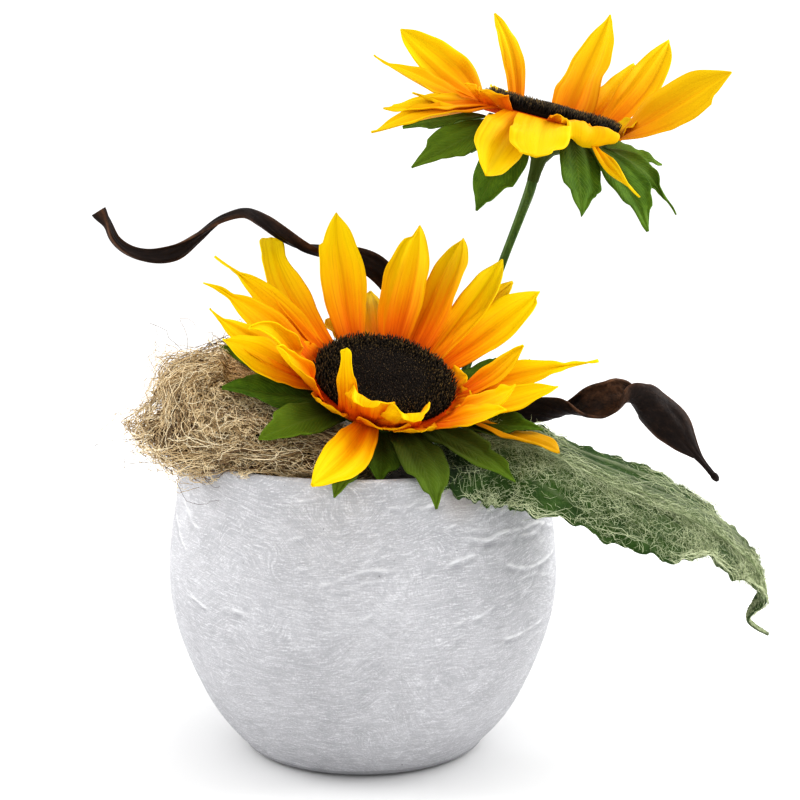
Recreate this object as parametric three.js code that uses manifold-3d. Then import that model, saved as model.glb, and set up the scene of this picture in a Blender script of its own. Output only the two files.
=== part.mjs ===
// A round pot with two large sunflowers, two twisted dry pods, a ball of dry fibre and a woolly leaf.
// Millimetres, +Z up, -Y towards the viewer. The origin is the centre of the pot's flat underside.
import * as THREE from "three";
import { mergeVertices } from "three/addons/utils/BufferGeometryUtils.js";
import Module from "manifold-3d";

const wasm = await Module();
wasm.setup();

// ---------------------------------------------------------------- driving dimensions

const GAP = 0.35; // between pieces that rest on or in each other
const BLADE = 0.8; // thickness of petals and green leaves

const POT_HEIGHT = 118;
const POT_WALL = 4.5;
const POT_FLOOR = 7;
const POT_TURNS = 32;
// Height and outer radius of the pot's side, from its base to its rim.
const POT_SIDE = [
  [0, 45.5],
  [14, 57.7],
  [30, 66.4],
  [47, 72.7],
  [65, 76],
  [84, 75],
  [101, 72.5],
  [POT_HEIGHT, 71.5],
];

const FOAM_TOP = 107;
const FOAM_TURNS = 24;

// A flower head in its own frame: +Z along its axis, the petals' roots round Z = 0.
const DISC_R = 26.5;
const DISC_EDGE = 2.2; // height of the disc's upright edge
const DISC_DOME = 6;
const FLORET_RINGS = 7;
const FLORET_TURNS = 32;
const FLORET_RELIEF = 0.9;
const COLLAR_R = 28; // the ring in which all the petals of a head are rooted
const COLLAR_TOP = -GAP;
const COLLAR_BASE = -3.3;
const PETAL_SEAT = { radius: 27.4, height: -0.9, sunk: 6, steps: 5 };
const CUP_TOP = COLLAR_BASE - GAP; // the green cup under the collar
const CUP_R = 24.5;
const CUP_DEPTH = 22;
const SEPAL_SEAT = { radius: 24, height: -5.4, sunk: 7, steps: 4 };
const STEM_R = 3;
const STEM_IN_CUP = 12; // depth below the collar at which the stem ends in the cup

const FRONT_HEAD = { place: [8.5, -28, 147], lean: 27, roll: 12 };
const BACK_HEAD = { place: [72.7, 15, 244.1], lean: 2, roll: 15 };

// Petals and sepals. at: direction round the head in degrees (0 right, 90 away, -90 to the viewer);
// rise: slope at the root; bend: change of slope to the tip; tilt: turn about its own midrib.
const FRONT_PETALS = [
  { at: 118, rise: 45, bend: -10, long: 52, wide: 18 },
  { at: 102, rise: 3, bend: -10, long: 46, wide: 13 },
  { at: 89, rise: 38, bend: -10, long: 52, wide: 19 },
  { at: 75, rise: 39, bend: -10, long: 52, wide: 18 },
  { at: 61, rise: 35, bend: -10, long: 52, wide: 17 },
  { at: 57, rise: 21, bend: -10, long: 54, wide: 15 },
  { at: 45, rise: 28, bend: -10, long: 54, wide: 19, tilt: 12 },
  { at: 18, rise: 42, bend: 0, long: 31, wide: 13 },
  { at: 2, rise: 36, bend: -10, long: 55, wide: 14, tilt: 10 },
  { at: -24, rise: 29, bend: 20, long: 50, wide: 14, tilt: 10 },
  { at: -30, rise: 22, bend: -32, long: 49, wide: 14 },
  { at: -38, rise: 43, bend: 10, long: 44, wide: 15 },
  { at: -50, rise: 35, bend: 15, long: 44, wide: 13 },
  { at: -78, rise: 42, bend: 30, long: 31, wide: 19 },
  { at: -94, rise: 42, bend: 35, long: 32, wide: 18 },
  { at: -104, rise: 21, bend: -42, long: 51, wide: 20 },
  { at: -117, rise: 55, bend: 40, long: 36, wide: 12 },
  { at: -134, rise: 49, bend: 0, long: 44, wide: 13, tilt: -20 },
  { at: -149, rise: 53, bend: 0, long: 44, wide: 14, tilt: -12 },
  { at: -162, rise: 31, bend: -5, long: 42, wide: 17, tilt: -28 },
  { at: -174, rise: 31, bend: -5, long: 46, wide: 15, tilt: -22 },
  { at: 170, rise: 28, bend: -5, long: 51, wide: 15, tilt: -22 },
  { at: 157, rise: 25, bend: -5, long: 55, wide: 13, tilt: -15 },
  { at: 140, rise: 29, bend: -10, long: 52, wide: 18, tilt: -25 },
  { at: 124, rise: 4, bend: -10, long: 46, wide: 13 },
];
const FRONT_SEPALS = [
  { at: 178, rise: 9, bend: -5, long: 39, wide: 14, tilt: -15 },
  { at: -152, rise: 16, bend: -6, long: 41, wide: 16, tilt: -12 },
  { at: -129, rise: 14, bend: -16, long: 39, wide: 17, tilt: -8 },
  { at: -99, rise: 4, bend: -24, long: 37, wide: 15 },
  { at: -66, rise: 20, bend: -46, long: 41, wide: 18 },
  { at: -42, rise: 18, bend: -18, long: 46, wide: 17 },
  { at: -15, rise: 12, bend: -4, long: 40, wide: 14, tilt: 10 },
  { at: 22, rise: 20, bend: 6, long: 36, wide: 15 },
  { at: 63, rise: 12, bend: 10, long: 37, wide: 15 },
  { at: 106, rise: -4, bend: 0, long: 31, wide: 14 },
  { at: 142, rise: 8, bend: 0, long: 35, wide: 14 },
];
const BACK_PETALS = [
  { at: 160, rise: 25, bend: 0, long: 46, wide: 19, tilt: -50 },
  { at: 176, rise: 9, bend: 0, long: 45, wide: 14, tilt: -32 },
  { at: -171, rise: -10, bend: 8, long: 30, wide: 12, tilt: -10 },
  { at: -164, rise: -16, bend: -4, long: 41, wide: 14, tilt: -22 },
  { at: -152, rise: -18, bend: -12, long: 50, wide: 15, tilt: -28 },
  { at: -112, rise: -8, bend: -50, long: 46, wide: 19 },
  { at: -92, rise: 10, bend: -60, long: 44, wide: 19 },
  { at: -66, rise: -22, bend: 85, long: 22, wide: 20 },
  { at: -56, rise: -8, bend: -30, long: 44, wide: 8 },
  { at: 0, rise: 45, bend: 0, long: 51, wide: 18, tilt: 50 },
  { at: 44, rise: 56, bend: 0, long: 52, wide: 17, tilt: 22 },
  { at: 58, rise: 42, bend: 0, long: 48, wide: 16, tilt: 12 },
  { at: 73, rise: 66, bend: 0, long: 52, wide: 21 },
  { at: 92, rise: 20, bend: -10, long: 40, wide: 14 },
  { at: 108, rise: 15, bend: -10, long: 44, wide: 14 },
  { at: 123, rise: 52, bend: 0, long: 44, wide: 13, tilt: -22 },
];
const BACK_SEPALS = [
  { at: 178, rise: -18, bend: -10, long: 33, wide: 13, tilt: -32 },
  { at: -142, rise: -30, bend: -10, long: 44, wide: 15, tilt: -32 },
  { at: -116, rise: -46, bend: -20, long: 41, wide: 16, tilt: -35 },
  { at: -69, rise: -37, bend: -20, long: 35, wide: 18 },
  { at: -46, rise: -18, bend: -30, long: 45, wide: 16, tilt: 25 },
  { at: -8, rise: -8, bend: -40, long: 36, wide: 13, tilt: 30 },
  { at: 22, rise: 4, bend: -8, long: 30, wide: 14, tilt: 25 },
  { at: 58, rise: -12, bend: -20, long: 32, wide: 15 },
  { at: 118, rise: -20, bend: -20, long: 32, wide: 15 },
];

// Centre lines upwards: first the lower end in the foam, then the mouth of its hole.
const FRONT_STEM_LINE = [
  [-3, -3, 68],
  [0, -9, 107],
];
const BACK_STEM_LINE = [
  [17, 21, 66],
  [28, 25.5, 107],
  [43, 31, 149],
  [54, 32, 182],
  [62.5, 27, 206],
];
const STALK_R = 3.2; // round lower ends of the pods and of the leaf
const POD_LEFT_LINE = [
  [10, 34, 74],
  [14, 33.5, 107],
  [19, 30, 137],
  [19, 27, 157],
  [14, 26, 174],
  [7, 26, 184],
  [-2, 26, 189],
  [-14, 22, 192],
  [-24, 16, 195],
  [-32, 10, 200],
  [-39, 10, 205],
  [-46, 14, 208],
  [-55, 16, 205.5],
  [-64, 14, 199],
  [-73, 8, 193],
  [-82, 4, 191.5],
  [-90, 4, 193.5],
  [-96, 6, 198],
  [-99, 8, 204],
  [-102, 8, 209],
];
const POD_RIGHT_LINE = [
  [40, 4, 74],
  [41, 3, 107],
  [45, 1, 122],
  [56, -3, 131],
  [68, -5, 132],
  [79, -5, 132],
  [90, -4, 132.5],
  [101, -4, 133],
  [111, -6, 133.5],
  [119, -8, 130],
  [126, -8, 122],
  [131, -8, 114],
  [135.5, -8, 108],
];
const LEAF_STALK_LINE = [
  [27, -24, 74],
  [33, -32, 107],
  [37, -37, 120],
  [44, -42, 126.5],
];
// Stations of the woolly leaf: midrib point, half width towards the viewer, half width away.
const LEAF_STATIONS = [
  [40, -40, 124.6, 5, 4],
  [44, -43, 126.6, 18, 9],
  [51, -46, 127.6, 26, 13],
  [61, -49, 125.6, 26, 16],
  [72, -51, 121, 24, 17],
  [86, -52, 114.2, 20, 18],
  [100, -52, 107.4, 20.5, 19],
  [115, -51, 100, 19, 19],
  [129, -48, 90.6, 14, 18],
  [140, -45, 79.4, 9, 16],
  [146, -42, 69, 6, 11],
  [150, -39, 60, 3, 5],
  [153, -37, 53, 0.8, 0.8],
];
const LEAF_THICK = 1.3;
const LEAF_NEAR_SLOPE = -52; // slope of the half that hangs over the rim towards the viewer
const LEAF_FAR_SLOPE = 25;
const LEAF_TOOTH = 1.4;
const LEAF_VEIN = 1.1; // height of the raised side veins

const NEST_CENTRE = [-47, -16, 127];
const NEST_RADII = [43, 43, 28];
const NEST_STRANDS = 36;
const STRAND_R = 0.9;

// ---------------------------------------------------------------- small helpers

const rad = THREE.MathUtils.degToRad;
const vec = (x, y, z) => new THREE.Vector3(x, y, z);
const curveThrough = (line) =>
  new THREE.CatmullRomCurve3(
    line.map((point) => vec(...point)),
    false,
    "centripetal",
  );

// Numbers between 0 and 1 that are the same on every run.
function seededRandom(seed) {
  let state = seed;
  return () => {
    state = (state * 48271) % 2147483647;
    return state / 2147483647;
  };
}

// A closed three.js geometry as a solid that can be joined and cut.
function solidOf(geometry) {
  const loose = geometry.index ? geometry.toNonIndexed() : geometry.clone();
  loose.deleteAttribute("normal");
  loose.deleteAttribute("uv");
  const merged = mergeVertices(loose, 1e-4);
  const mesh = new wasm.Mesh({
    numProp: 3,
    vertProperties: merged.attributes.position.array,
    triVerts: merged.index.array,
  });
  return new wasm.Manifold(mesh);
}

// The largest body of a solid as a geometry: scraps that a cut leaves are dropped.
function geometryOf(solid) {
  const bodies = solid.decompose().sort((a, b) => b.volume() - a.volume());
  const mesh = bodies[0].simplify(0.01).getMesh();
  const geometry = new THREE.BufferGeometry();
  geometry.setAttribute("position", new THREE.BufferAttribute(mesh.vertProperties, 3));
  geometry.setIndex(new THREE.BufferAttribute(mesh.triVerts, 1));
  geometry.computeVertexNormals();
  return geometry;
}

// A profile of [radius, height] pairs turned round +Z.
function turned(profile, turns) {
  const points = profile.map(([radius, height]) => new THREE.Vector2(radius, height));
  return new THREE.LatheGeometry(points, turns).rotateX(Math.PI / 2);
}

// A round bar along a curve.
function bar(curve, radius, sides, steps) {
  const corners = Array.from({ length: sides }, (_, i) => {
    const angle = (2 * Math.PI * i) / sides;
    return new THREE.Vector2(radius * Math.cos(angle), radius * Math.sin(angle));
  });
  return new THREE.ExtrudeGeometry(new THREE.Shape(corners), {
    steps,
    bevelEnabled: false,
    extrudePath: curve,
  });
}

// A closed body from two skins alike, each a grid of rows and columns of vertices.
function closedSkins(rows, columns, upper, lower) {
  const vertex = (skin, row, column) => (skin * rows + row) * columns + column;
  const index = [];
  const quad = (a, b, c, d) => index.push(a, b, c, a, c, d);
  for (let i = 0; i < rows - 1; i++) {
    for (let j = 0; j < columns - 1; j++) {
      quad(vertex(0, i, j), vertex(0, i + 1, j), vertex(0, i + 1, j + 1), vertex(0, i, j + 1));
      index.push(vertex(1, i, j), vertex(1, i + 1, j + 1), vertex(1, i + 1, j));
      index.push(vertex(1, i, j), vertex(1, i, j + 1), vertex(1, i + 1, j + 1));
    }
    const last = columns - 1;
    quad(vertex(0, i, 0), vertex(1, i, 0), vertex(1, i + 1, 0), vertex(0, i + 1, 0));
    quad(vertex(0, i, last), vertex(0, i + 1, last), vertex(1, i + 1, last), vertex(1, i, last));
  }
  for (let j = 0; j < columns - 1; j++) {
    const end = rows - 1;
    quad(vertex(0, 0, j), vertex(0, 0, j + 1), vertex(1, 0, j + 1), vertex(1, 0, j));
    quad(vertex(0, end, j), vertex(1, end, j), vertex(1, end, j + 1), vertex(0, end, j + 1));
  }
  const geometry = new THREE.BufferGeometry();
  geometry.setAttribute("position", new THREE.Float32BufferAttribute([...upper, ...lower], 3));
  geometry.setIndex(index);
  return geometry;
}

// A sheet of even thickness from rows of { place, normal }.
function sheet(grid, thickness) {
  const skin = (side) =>
    grid.flat().flatMap(({ place, normal }) => place.clone().addScaledVector(normal, side).toArray());
  return closedSkins(grid.length, grid[0].length, skin(thickness / 2), skin(-thickness / 2));
}

// A closed body swept along a curve; section(t) gives its corners as [across, through] pairs.
function swept(curve, steps, section) {
  const frames = curve.computeFrenetFrames(steps, false);
  const sides = section(0).length;
  const position = [];
  const index = [];
  for (let i = 0; i <= steps; i++) {
    const centre = curve.getPointAt(i / steps);
    for (const [across, through] of section(i / steps)) {
      const corner = centre.clone().addScaledVector(frames.normals[i], across);
      position.push(...corner.addScaledVector(frames.binormals[i], through).toArray());
    }
  }
  for (let i = 0; i < steps; i++) {
    for (let j = 0; j < sides; j++) {
      const [a, b] = [i * sides + j, i * sides + ((j + 1) % sides)];
      index.push(a, b, b + sides, a, b + sides, a + sides);
    }
  }
  for (let j = 1; j < sides - 1; j++) {
    index.push(0, j + 1, j);
    const end = steps * sides;
    index.push(end, end + j, end + j + 1);
  }
  const geometry = new THREE.BufferGeometry();
  geometry.setAttribute("position", new THREE.Float32BufferAttribute(position, 3));
  geometry.setIndex(index);
  return geometry;
}

// A curve whose stretch in the foam, and a little above it, is straight.
function seatedCurve(line) {
  const [end, mouth] = [vec(...line[0]), vec(...line[1])];
  const along = mouth.clone().sub(end).normalize();
  const straight = [-12, 0, 3].map((reach) => mouth.clone().addScaledVector(along, reach).toArray());
  return curveThrough([line[0], ...straight, ...line.slice(2)]);
}

function piece(name, geometry, color, roughness) {
  const material = new THREE.MeshStandardMaterial({ color, roughness, metalness: 0 });
  const mesh = new THREE.Mesh(geometry, material);
  mesh.name = name;
  return mesh;
}

// ---------------------------------------------------------------- pot and foam

function potOuterRadius(height) {
  const side = new THREE.SplineCurve(POT_SIDE.map(([z, r]) => new THREE.Vector2(r, z)));
  let [low, high] = [0, 1];
  for (let i = 0; i < 20; i++) {
    const middle = (low + high) / 2;
    if (side.getPoint(middle).y < height) low = middle;
    else high = middle;
  }
  return side.getPoint(low).x;
}

// The pot's closed profile, grown outwards by the given amount on every side.
function potProfile(grow) {
  const inner = (z) => potOuterRadius(z) - POT_WALL - grow;
  const outer = (z) => potOuterRadius(z) + grow;
  const top = POT_HEIGHT;
  const profile = [
    [0, -grow],
    [outer(0), -grow],
    [outer(0) + 0.9, 2],
  ];
  for (const z of [12, 26, 42, 60, 78, 96, 110]) profile.push([outer(z), z]);
  profile.push([outer(top), top - 1.4], [outer(top) - 1.3, top + grow]);
  profile.push([inner(top) + 1.3, top + grow], [inner(top), top - 1.4]);
  for (const z of [100, 80, 60, 42, 26, 14]) profile.push([inner(z), z]);
  profile.push([inner(POT_FLOOR) - 2, POT_FLOOR + grow], [0, POT_FLOOR + grow]);
  return profile;
}

// The foam fills the pot's inside to a little below the rim.
function foamProfile(grow) {
  const inner = (z) => potOuterRadius(z) - POT_WALL - GAP - 0.15 + grow;
  const profile = [
    [0, POT_FLOOR + GAP - grow],
    [inner(POT_FLOOR) - 3, POT_FLOOR + GAP - grow],
  ];
  for (const z of [15, 26, 42, 60, 80]) profile.push([inner(z) - 0.4, z]);
  profile.push([inner(FOAM_TOP), FOAM_TOP - 2], [inner(FOAM_TOP) - 2, FOAM_TOP + grow]);
  profile.push([0, FOAM_TOP + grow]);
  return profile;
}

// The straight hole for a stem, from below the stem's end to above the foam.
function holeFor(line, radius) {
  const [end, mouth] = [vec(...line[0]), vec(...line[1])];
  const along = mouth.clone().sub(end).normalize();
  const path = new THREE.LineCurve3(
    end.clone().addScaledVector(along, -GAP),
    mouth.clone().addScaledVector(along, 3),
  );
  return solidOf(bar(path, radius + GAP, 10, 1));
}

function foamGeometry() {
  const holes = [
    holeFor(FRONT_STEM_LINE, STEM_R + 0.1),
    holeFor(BACK_STEM_LINE, STEM_R + 0.1),
    holeFor(POD_LEFT_LINE, STALK_R + 0.1),
    holeFor(POD_RIGHT_LINE, STALK_R + 0.1),
    holeFor(LEAF_STALK_LINE, STALK_R + 0.1),
  ];
  const block = solidOf(turned(foamProfile(0), FOAM_TURNS));
  return geometryOf(block.subtract(wasm.Manifold.union(holes)));
}

// ---------------------------------------------------------------- flower heads

// Share of the full width at t from root (0) to tip (1).
function petalWidth(t) {
  if (t < 0.5) return 0.44 + 0.56 * Math.sin(Math.PI * t);
  const past = (t - 0.5) / 0.5;
  return Math.max(1 - past * past, 0.001) ** 0.9;
}

// A petal or sepal: a blade whose root lies sunk in its seat, with its sides cupped upwards.
function blade(spec, seat, cup, grow) {
  const STEPS = seat.steps;
  const { at, rise, bend, long, wide, tilt = 0 } = spec;
  const out = vec(Math.cos(rad(at)), Math.sin(rad(at)), 0);
  const side = vec(-out.y, out.x, 0);
  const place = out.clone().multiplyScalar(seat.radius).setZ(seat.height);
  const stations = [{ t: 0, slope: 0, place: place.clone().addScaledVector(out, -seat.sunk) }];
  for (let i = 0; i <= STEPS; i++) {
    const slope = rad(rise + (bend * i) / STEPS);
    stations.push({ t: i / STEPS, slope, place: place.clone() });
    const next = rad(rise + (bend * (i + 0.5)) / STEPS);
    place.addScaledVector(out, (Math.cos(next) * (long + grow)) / STEPS);
    place.z += (Math.sin(next) * (long + grow)) / STEPS;
  }
  const grid = stations.map(({ t, slope, place: middle }) => {
    const up = out.clone().multiplyScalar(-Math.sin(slope)).setZ(Math.cos(slope));
    const turn = rad(tilt) * Math.min(t / 0.4, 1);
    const across = side.clone().multiplyScalar(Math.cos(turn)).addScaledVector(up, Math.sin(turn));
    const normal = up.multiplyScalar(Math.cos(turn)).addScaledVector(side, -Math.sin(turn));
    const half = Math.max((wide / 2) * petalWidth(t), 0.5) + grow;
    const lift = cup * half * Math.min(t / 0.4, 1);
    return [-1, 0, 1].map((j) => {
      const spot = middle.clone().addScaledVector(across, j * half);
      return { place: spot.addScaledVector(normal, Math.abs(j) * lift), normal };
    });
  });
  return solidOf(sheet(grid, BLADE + 2 * grow));
}

// All the petals of a head, rooted in their collar.
function petalRing(petals, grow) {
  const collar = turned(
    [
      [0, COLLAR_BASE - grow],
      [COLLAR_R + grow, COLLAR_BASE - grow],
      [COLLAR_R + grow, COLLAR_TOP + grow],
      [0, COLLAR_TOP + grow],
    ],
    FLORET_TURNS,
  );
  const blades = petals.map((petal) => blade(petal, PETAL_SEAT, 0.22, grow));
  return wasm.Manifold.union([solidOf(collar), ...blades]);
}

// The green cup and its sepals.
function calyx(sepals, grow) {
  const cup = turned(
    [
      [0, CUP_TOP - CUP_DEPTH - grow],
      [STEM_R + 1.6 + grow, CUP_TOP - CUP_DEPTH - grow],
      [STEM_R + 3.2 + grow, CUP_TOP - 13],
      [CUP_R * 0.55 + grow, CUP_TOP - 8],
      [CUP_R * 0.9 + grow, CUP_TOP - 4],
      [CUP_R + grow, CUP_TOP - 1.6],
      [CUP_R - 1 + grow, CUP_TOP + grow],
      [0, CUP_TOP + grow],
    ],
    24,
  );
  const blades = sepals.map((sepal) => blade(sepal, SEPAL_SEAT, 0.12, grow));
  return wasm.Manifold.union([solidOf(cup), ...blades]);
}

// A low dome whose florets stand up as relief in turned rows.
function discGeometry() {
  const profile = [
    [0, 0],
    [DISC_R - 1, 0],
    [DISC_R, DISC_EDGE],
  ];
  for (let ring = FLORET_RINGS - 1; ring >= 0; ring--) {
    const share = ring / FLORET_RINGS;
    profile.push([DISC_R * share, DISC_EDGE + (DISC_DOME - DISC_EDGE) * (1 - share * share)]);
  }
  const dome = turned(profile, FLORET_TURNS);
  const position = dome.getAttribute("position");
  for (let i = 0; i < position.count; i++) {
    const radius = Math.hypot(position.getX(i), position.getY(i));
    const ring = Math.round((radius / DISC_R) * FLORET_RINGS);
    const onDome = position.getZ(i) > DISC_EDGE + 0.01 && ring > 0;
    const turn = (Math.atan2(position.getY(i), position.getX(i)) / (2 * Math.PI)) * FLORET_TURNS;
    const raised = (Math.round(turn) + ring) % 2 === 0;
    if (onDome && raised) position.setZ(i, position.getZ(i) + FLORET_RELIEF);
  }
  return geometryOf(solidOf(dome));
}

function headGroup(head) {
  const group = new THREE.Group();
  group.position.set(...head.place);
  group.rotation.set(rad(head.lean), rad(head.roll), 0, "YXZ");
  group.updateMatrix();
  return group;
}

// The stem's line goes on from its last point straight into the head's cup.
function stemCurve(line, group, end) {
  const inHead = [CUP_TOP - CUP_DEPTH - 3, CUP_TOP - CUP_DEPTH + 2, end].map((z) =>
    vec(0, 0, z).applyMatrix4(group.matrix).toArray(),
  );
  return seatedCurve([...line, ...inHead]);
}

// One flower: petals, disc and calyx in the tilted group of its head, and the stem up to the cup.
function flower(name, head, petals, sepals, line, steps) {
  const group = headGroup(head);
  const stem = stemCurve(line, group, COLLAR_BASE - STEM_IN_CUP);
  const toHead = group.matrix.clone().invert();
  const roomy = stemCurve(line, group, COLLAR_BASE - STEM_IN_CUP + GAP);
  const socket = solidOf(bar(roomy, STEM_R + GAP, 8, steps).applyMatrix4(toHead));
  const green = calyx(sepals, 0).subtract(socket).subtract(petalRing(petals, GAP));
  group.add(piece(`${name}_petals`, geometryOf(petalRing(petals, 0)), 0xf5a80c, 0.6));
  group.add(piece(`${name}_disc`, discGeometry(), 0x2a1d12, 0.9));
  group.add(piece(`${name}_calyx`, geometryOf(green), 0x4c6a2c, 0.7));
  return { group, stem: piece(`${name}_stem`, bar(stem, STEM_R, 8, steps), 0x4f6a33, 0.65) };
}

// ---------------------------------------------------------------- pods

// A twisted dry pod: a round stalk in the foam that opens into a curled strip.
function podGeometry(line, steps, width, thick, curl, turns, open) {
  const CORNERS = 8;
  const section = (t) => {
    const spread = THREE.MathUtils.smoothstep(t, open[0], open[1]);
    const close = 1 - THREE.MathUtils.smoothstep(t, 0.93, 1) * 0.45;
    const half = THREE.MathUtils.lerp(STALK_R, width / 2, spread) * close;
    const through = THREE.MathUtils.lerp(STALK_R, thick / 2, spread);
    const twist = 2 * Math.PI * turns * Math.max(t - open[0], 0);
    return Array.from({ length: CORNERS }, (_, k) => {
      const angle = (2 * Math.PI * k) / CORNERS;
      const across = half * Math.cos(angle);
      const bow = curl * spread * half * (Math.cos(angle) ** 2 - 0.5);
      const deep = through * Math.sin(angle) + bow;
      return [
        across * Math.cos(twist) - deep * Math.sin(twist),
        across * Math.sin(twist) + deep * Math.cos(twist),
      ];
    });
  };
  return swept(seatedCurve(line), steps, section);
}

// ---------------------------------------------------------------- woolly leaf

// A long blade with a toothed edge and raised side veins, on a round stalk.
function leafSolid() {
  const BETWEEN = 2; // rows from one station to the next
  const midrib = curveThrough(LEAF_STATIONS.map((s) => s.slice(0, 3)));
  const rows = (LEAF_STATIONS.length - 1) * BETWEEN;
  const grid = [];
  for (let i = 0; i <= rows; i++) {
    const t = i / rows;
    const along = midrib.getTangent(t);
    const station = Math.min(Math.floor(i / BETWEEN), LEAF_STATIONS.length - 2);
    const share = i / BETWEEN - station;
    const [from, to] = [LEAF_STATIONS[station], LEAF_STATIONS[station + 1]];
    const inside = i > 1 && i < rows - 1;
    const tooth = inside ? (i % 2 ? LEAF_TOOTH : -LEAF_TOOTH * 0.6) : 0;
    const vein = inside && i % 2 ? LEAF_VEIN : 0;
    const [near, away] = [LEAF_NEAR_SLOPE, 180 - LEAF_FAR_SLOPE].map((degrees) => {
      const slope = vec(0, -Math.cos(rad(degrees)), Math.sin(rad(degrees)));
      return slope.addScaledVector(along, -along.dot(slope)).normalize();
    });
    const nearHalf = THREE.MathUtils.lerp(from[3], to[3], share) + tooth;
    const awayHalf = THREE.MathUtils.lerp(from[4], to[4], share) + tooth;
    const nearNormal = along.clone().cross(near).normalize().negate();
    const awayNormal = along.clone().cross(away).normalize();
    const middle = midrib.getPoint(t);
    const normal = nearNormal.clone().add(awayNormal).normalize();
    const spot = (direction, distance, face, lift) => ({
      place: middle.clone().addScaledVector(direction, distance).addScaledVector(face, lift),
      normal: face,
    });
    grid.push([
      spot(near, Math.max(nearHalf, 0.6), nearNormal, 0),
      spot(near, Math.max(nearHalf, 0.6) * 0.5, nearNormal, vein),
      spot(near, 0, normal, -0.8),
      spot(away, Math.max(awayHalf, 0.6) * 0.5, awayNormal, vein),
      spot(away, Math.max(awayHalf, 0.6), awayNormal, 0),
    ]);
  }
  const stalk = bar(seatedCurve(LEAF_STALK_LINE), STALK_R, 8, 8);
  return wasm.Manifold.union([solidOf(sheet(grid, LEAF_THICK)), solidOf(stalk)]);
}

// ---------------------------------------------------------------- fibre nest

// A lumpy core wound with strands whose ends stand off it.
function nestSolid() {
  const random = seededRandom(77);
  const radii = vec(...NEST_RADII);
  const centre = vec(...NEST_CENTRE);
  const core = new THREE.SphereGeometry(1, 18, 12).rotateX(Math.PI / 2);
  const position = core.getAttribute("position");
  for (let i = 0; i < position.count; i++) {
    const direction = vec(position.getX(i), position.getY(i), position.getZ(i));
    const waves = Math.sin(5 * direction.x + 7 * direction.z) + Math.sin(9 * direction.y - 4 * direction.x);
    direction.multiplyScalar(0.93 + 0.04 * waves).multiply(radii).add(centre);
    position.setXYZ(i, direction.x, direction.y, direction.z);
  }
  const strands = Array.from({ length: NEST_STRANDS }, () => {
    const turn = random() * 2 * Math.PI;
    const height = random() * 1.7 - 0.7;
    const heading = random() * Math.PI;
    const level = Math.sqrt(Math.max(1 - height * height, 0));
    const up = vec(level * Math.cos(turn), level * Math.sin(turn), height).normalize();
    const east = vec(-up.y, up.x, 0).normalize();
    const north = up.clone().cross(east);
    const run = east.multiplyScalar(Math.cos(heading)).addScaledVector(north, Math.sin(heading));
    const half = 0.55 + 0.35 * random();
    const lift = 1.06 + 0.16 * random();
    const stops = [-1, -0.6, -0.2, 0.2, 0.6, 1].map((share) => {
      const off = THREE.MathUtils.lerp(0.86, lift, (share + 1) / 2) + 0.06 * (1 - share * share);
      const spot = up.clone().multiplyScalar(Math.cos(half * share));
      spot.addScaledVector(run, Math.sin(half * share)).multiplyScalar(off);
      return spot.multiply(radii).add(centre).toArray();
    });
    return solidOf(bar(curveThrough(stops), STRAND_R, 3, 6));
  });
  return wasm.Manifold.union([solidOf(core), ...strands]);
}

// ---------------------------------------------------------------- the whole

const potSolid = (grow) => solidOf(turned(potProfile(grow), POT_TURNS));
const foamSolid = (grow) => solidOf(turned(foamProfile(grow), FOAM_TURNS));

const front = flower("front", FRONT_HEAD, FRONT_PETALS, FRONT_SEPALS, FRONT_STEM_LINE, 14);
const back = flower("back", BACK_HEAD, BACK_PETALS, BACK_SEPALS, BACK_STEM_LINE, 16);

// What the front head takes up, with the gap round it, in the frame of the whole.
function frontHeadRoom() {
  const taken = wasm.Manifold.union([petalRing(FRONT_PETALS, GAP), calyx(FRONT_SEPALS, GAP)]);
  return solidOf(geometryOf(taken).applyMatrix4(front.group.matrix));
}
const headRoom = frontHeadRoom();
const potRoom = potSolid(GAP);
const nest = nestSolid().subtract(potRoom).subtract(foamSolid(GAP)).subtract(headRoom);
const leaf = leafSolid().subtract(potRoom).subtract(headRoom);

const whole = new THREE.Group();
whole.add(
  piece("pot", turned(potProfile(0), POT_TURNS), 0xc9cacb, 0.85),
  piece("foam", foamGeometry(), 0x1b1c1a, 0.95),
  piece("fibre_nest", geometryOf(nest), 0xb39c78, 0.95),
  piece("woolly_leaf", geometryOf(leaf), 0x6f8062, 0.95),
  piece("pod_left", podGeometry(POD_LEFT_LINE, 38, 7.5, 2.6, 0.5, 2.2, [0.12, 0.3]), 0x2c1f17, 0.6),
  piece("pod_right", podGeometry(POD_RIGHT_LINE, 26, 17, 2.6, 0.45, 0.9, [0.2, 0.42]), 0x3a2619, 0.6),
  front.stem,
  back.stem,
  front.group,
  back.group,
);

export default whole;
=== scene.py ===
import math
import random

import bmesh
import bpy
import numpy as np
from mathutils import Matrix, Vector, noise


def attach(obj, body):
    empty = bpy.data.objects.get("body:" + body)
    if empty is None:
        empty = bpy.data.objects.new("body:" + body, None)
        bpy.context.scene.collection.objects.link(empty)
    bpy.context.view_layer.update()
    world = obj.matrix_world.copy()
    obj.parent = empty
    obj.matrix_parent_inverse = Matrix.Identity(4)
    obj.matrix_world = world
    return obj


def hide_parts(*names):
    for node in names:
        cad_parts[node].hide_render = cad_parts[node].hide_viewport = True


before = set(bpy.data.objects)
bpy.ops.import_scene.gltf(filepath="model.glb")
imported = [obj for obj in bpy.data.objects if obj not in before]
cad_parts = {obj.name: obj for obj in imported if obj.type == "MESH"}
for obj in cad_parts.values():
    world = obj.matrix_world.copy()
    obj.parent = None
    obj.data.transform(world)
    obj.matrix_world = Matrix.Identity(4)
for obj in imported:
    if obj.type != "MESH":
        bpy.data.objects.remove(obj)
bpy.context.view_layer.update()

# The lists and sizes below are in millimetres, as the construction's are. A piece is modelled in
# millimetres and brought to metres when its object is made.
MM = 0.001

# ---------------------------------------------------------------- sizes shared with the construction

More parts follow.
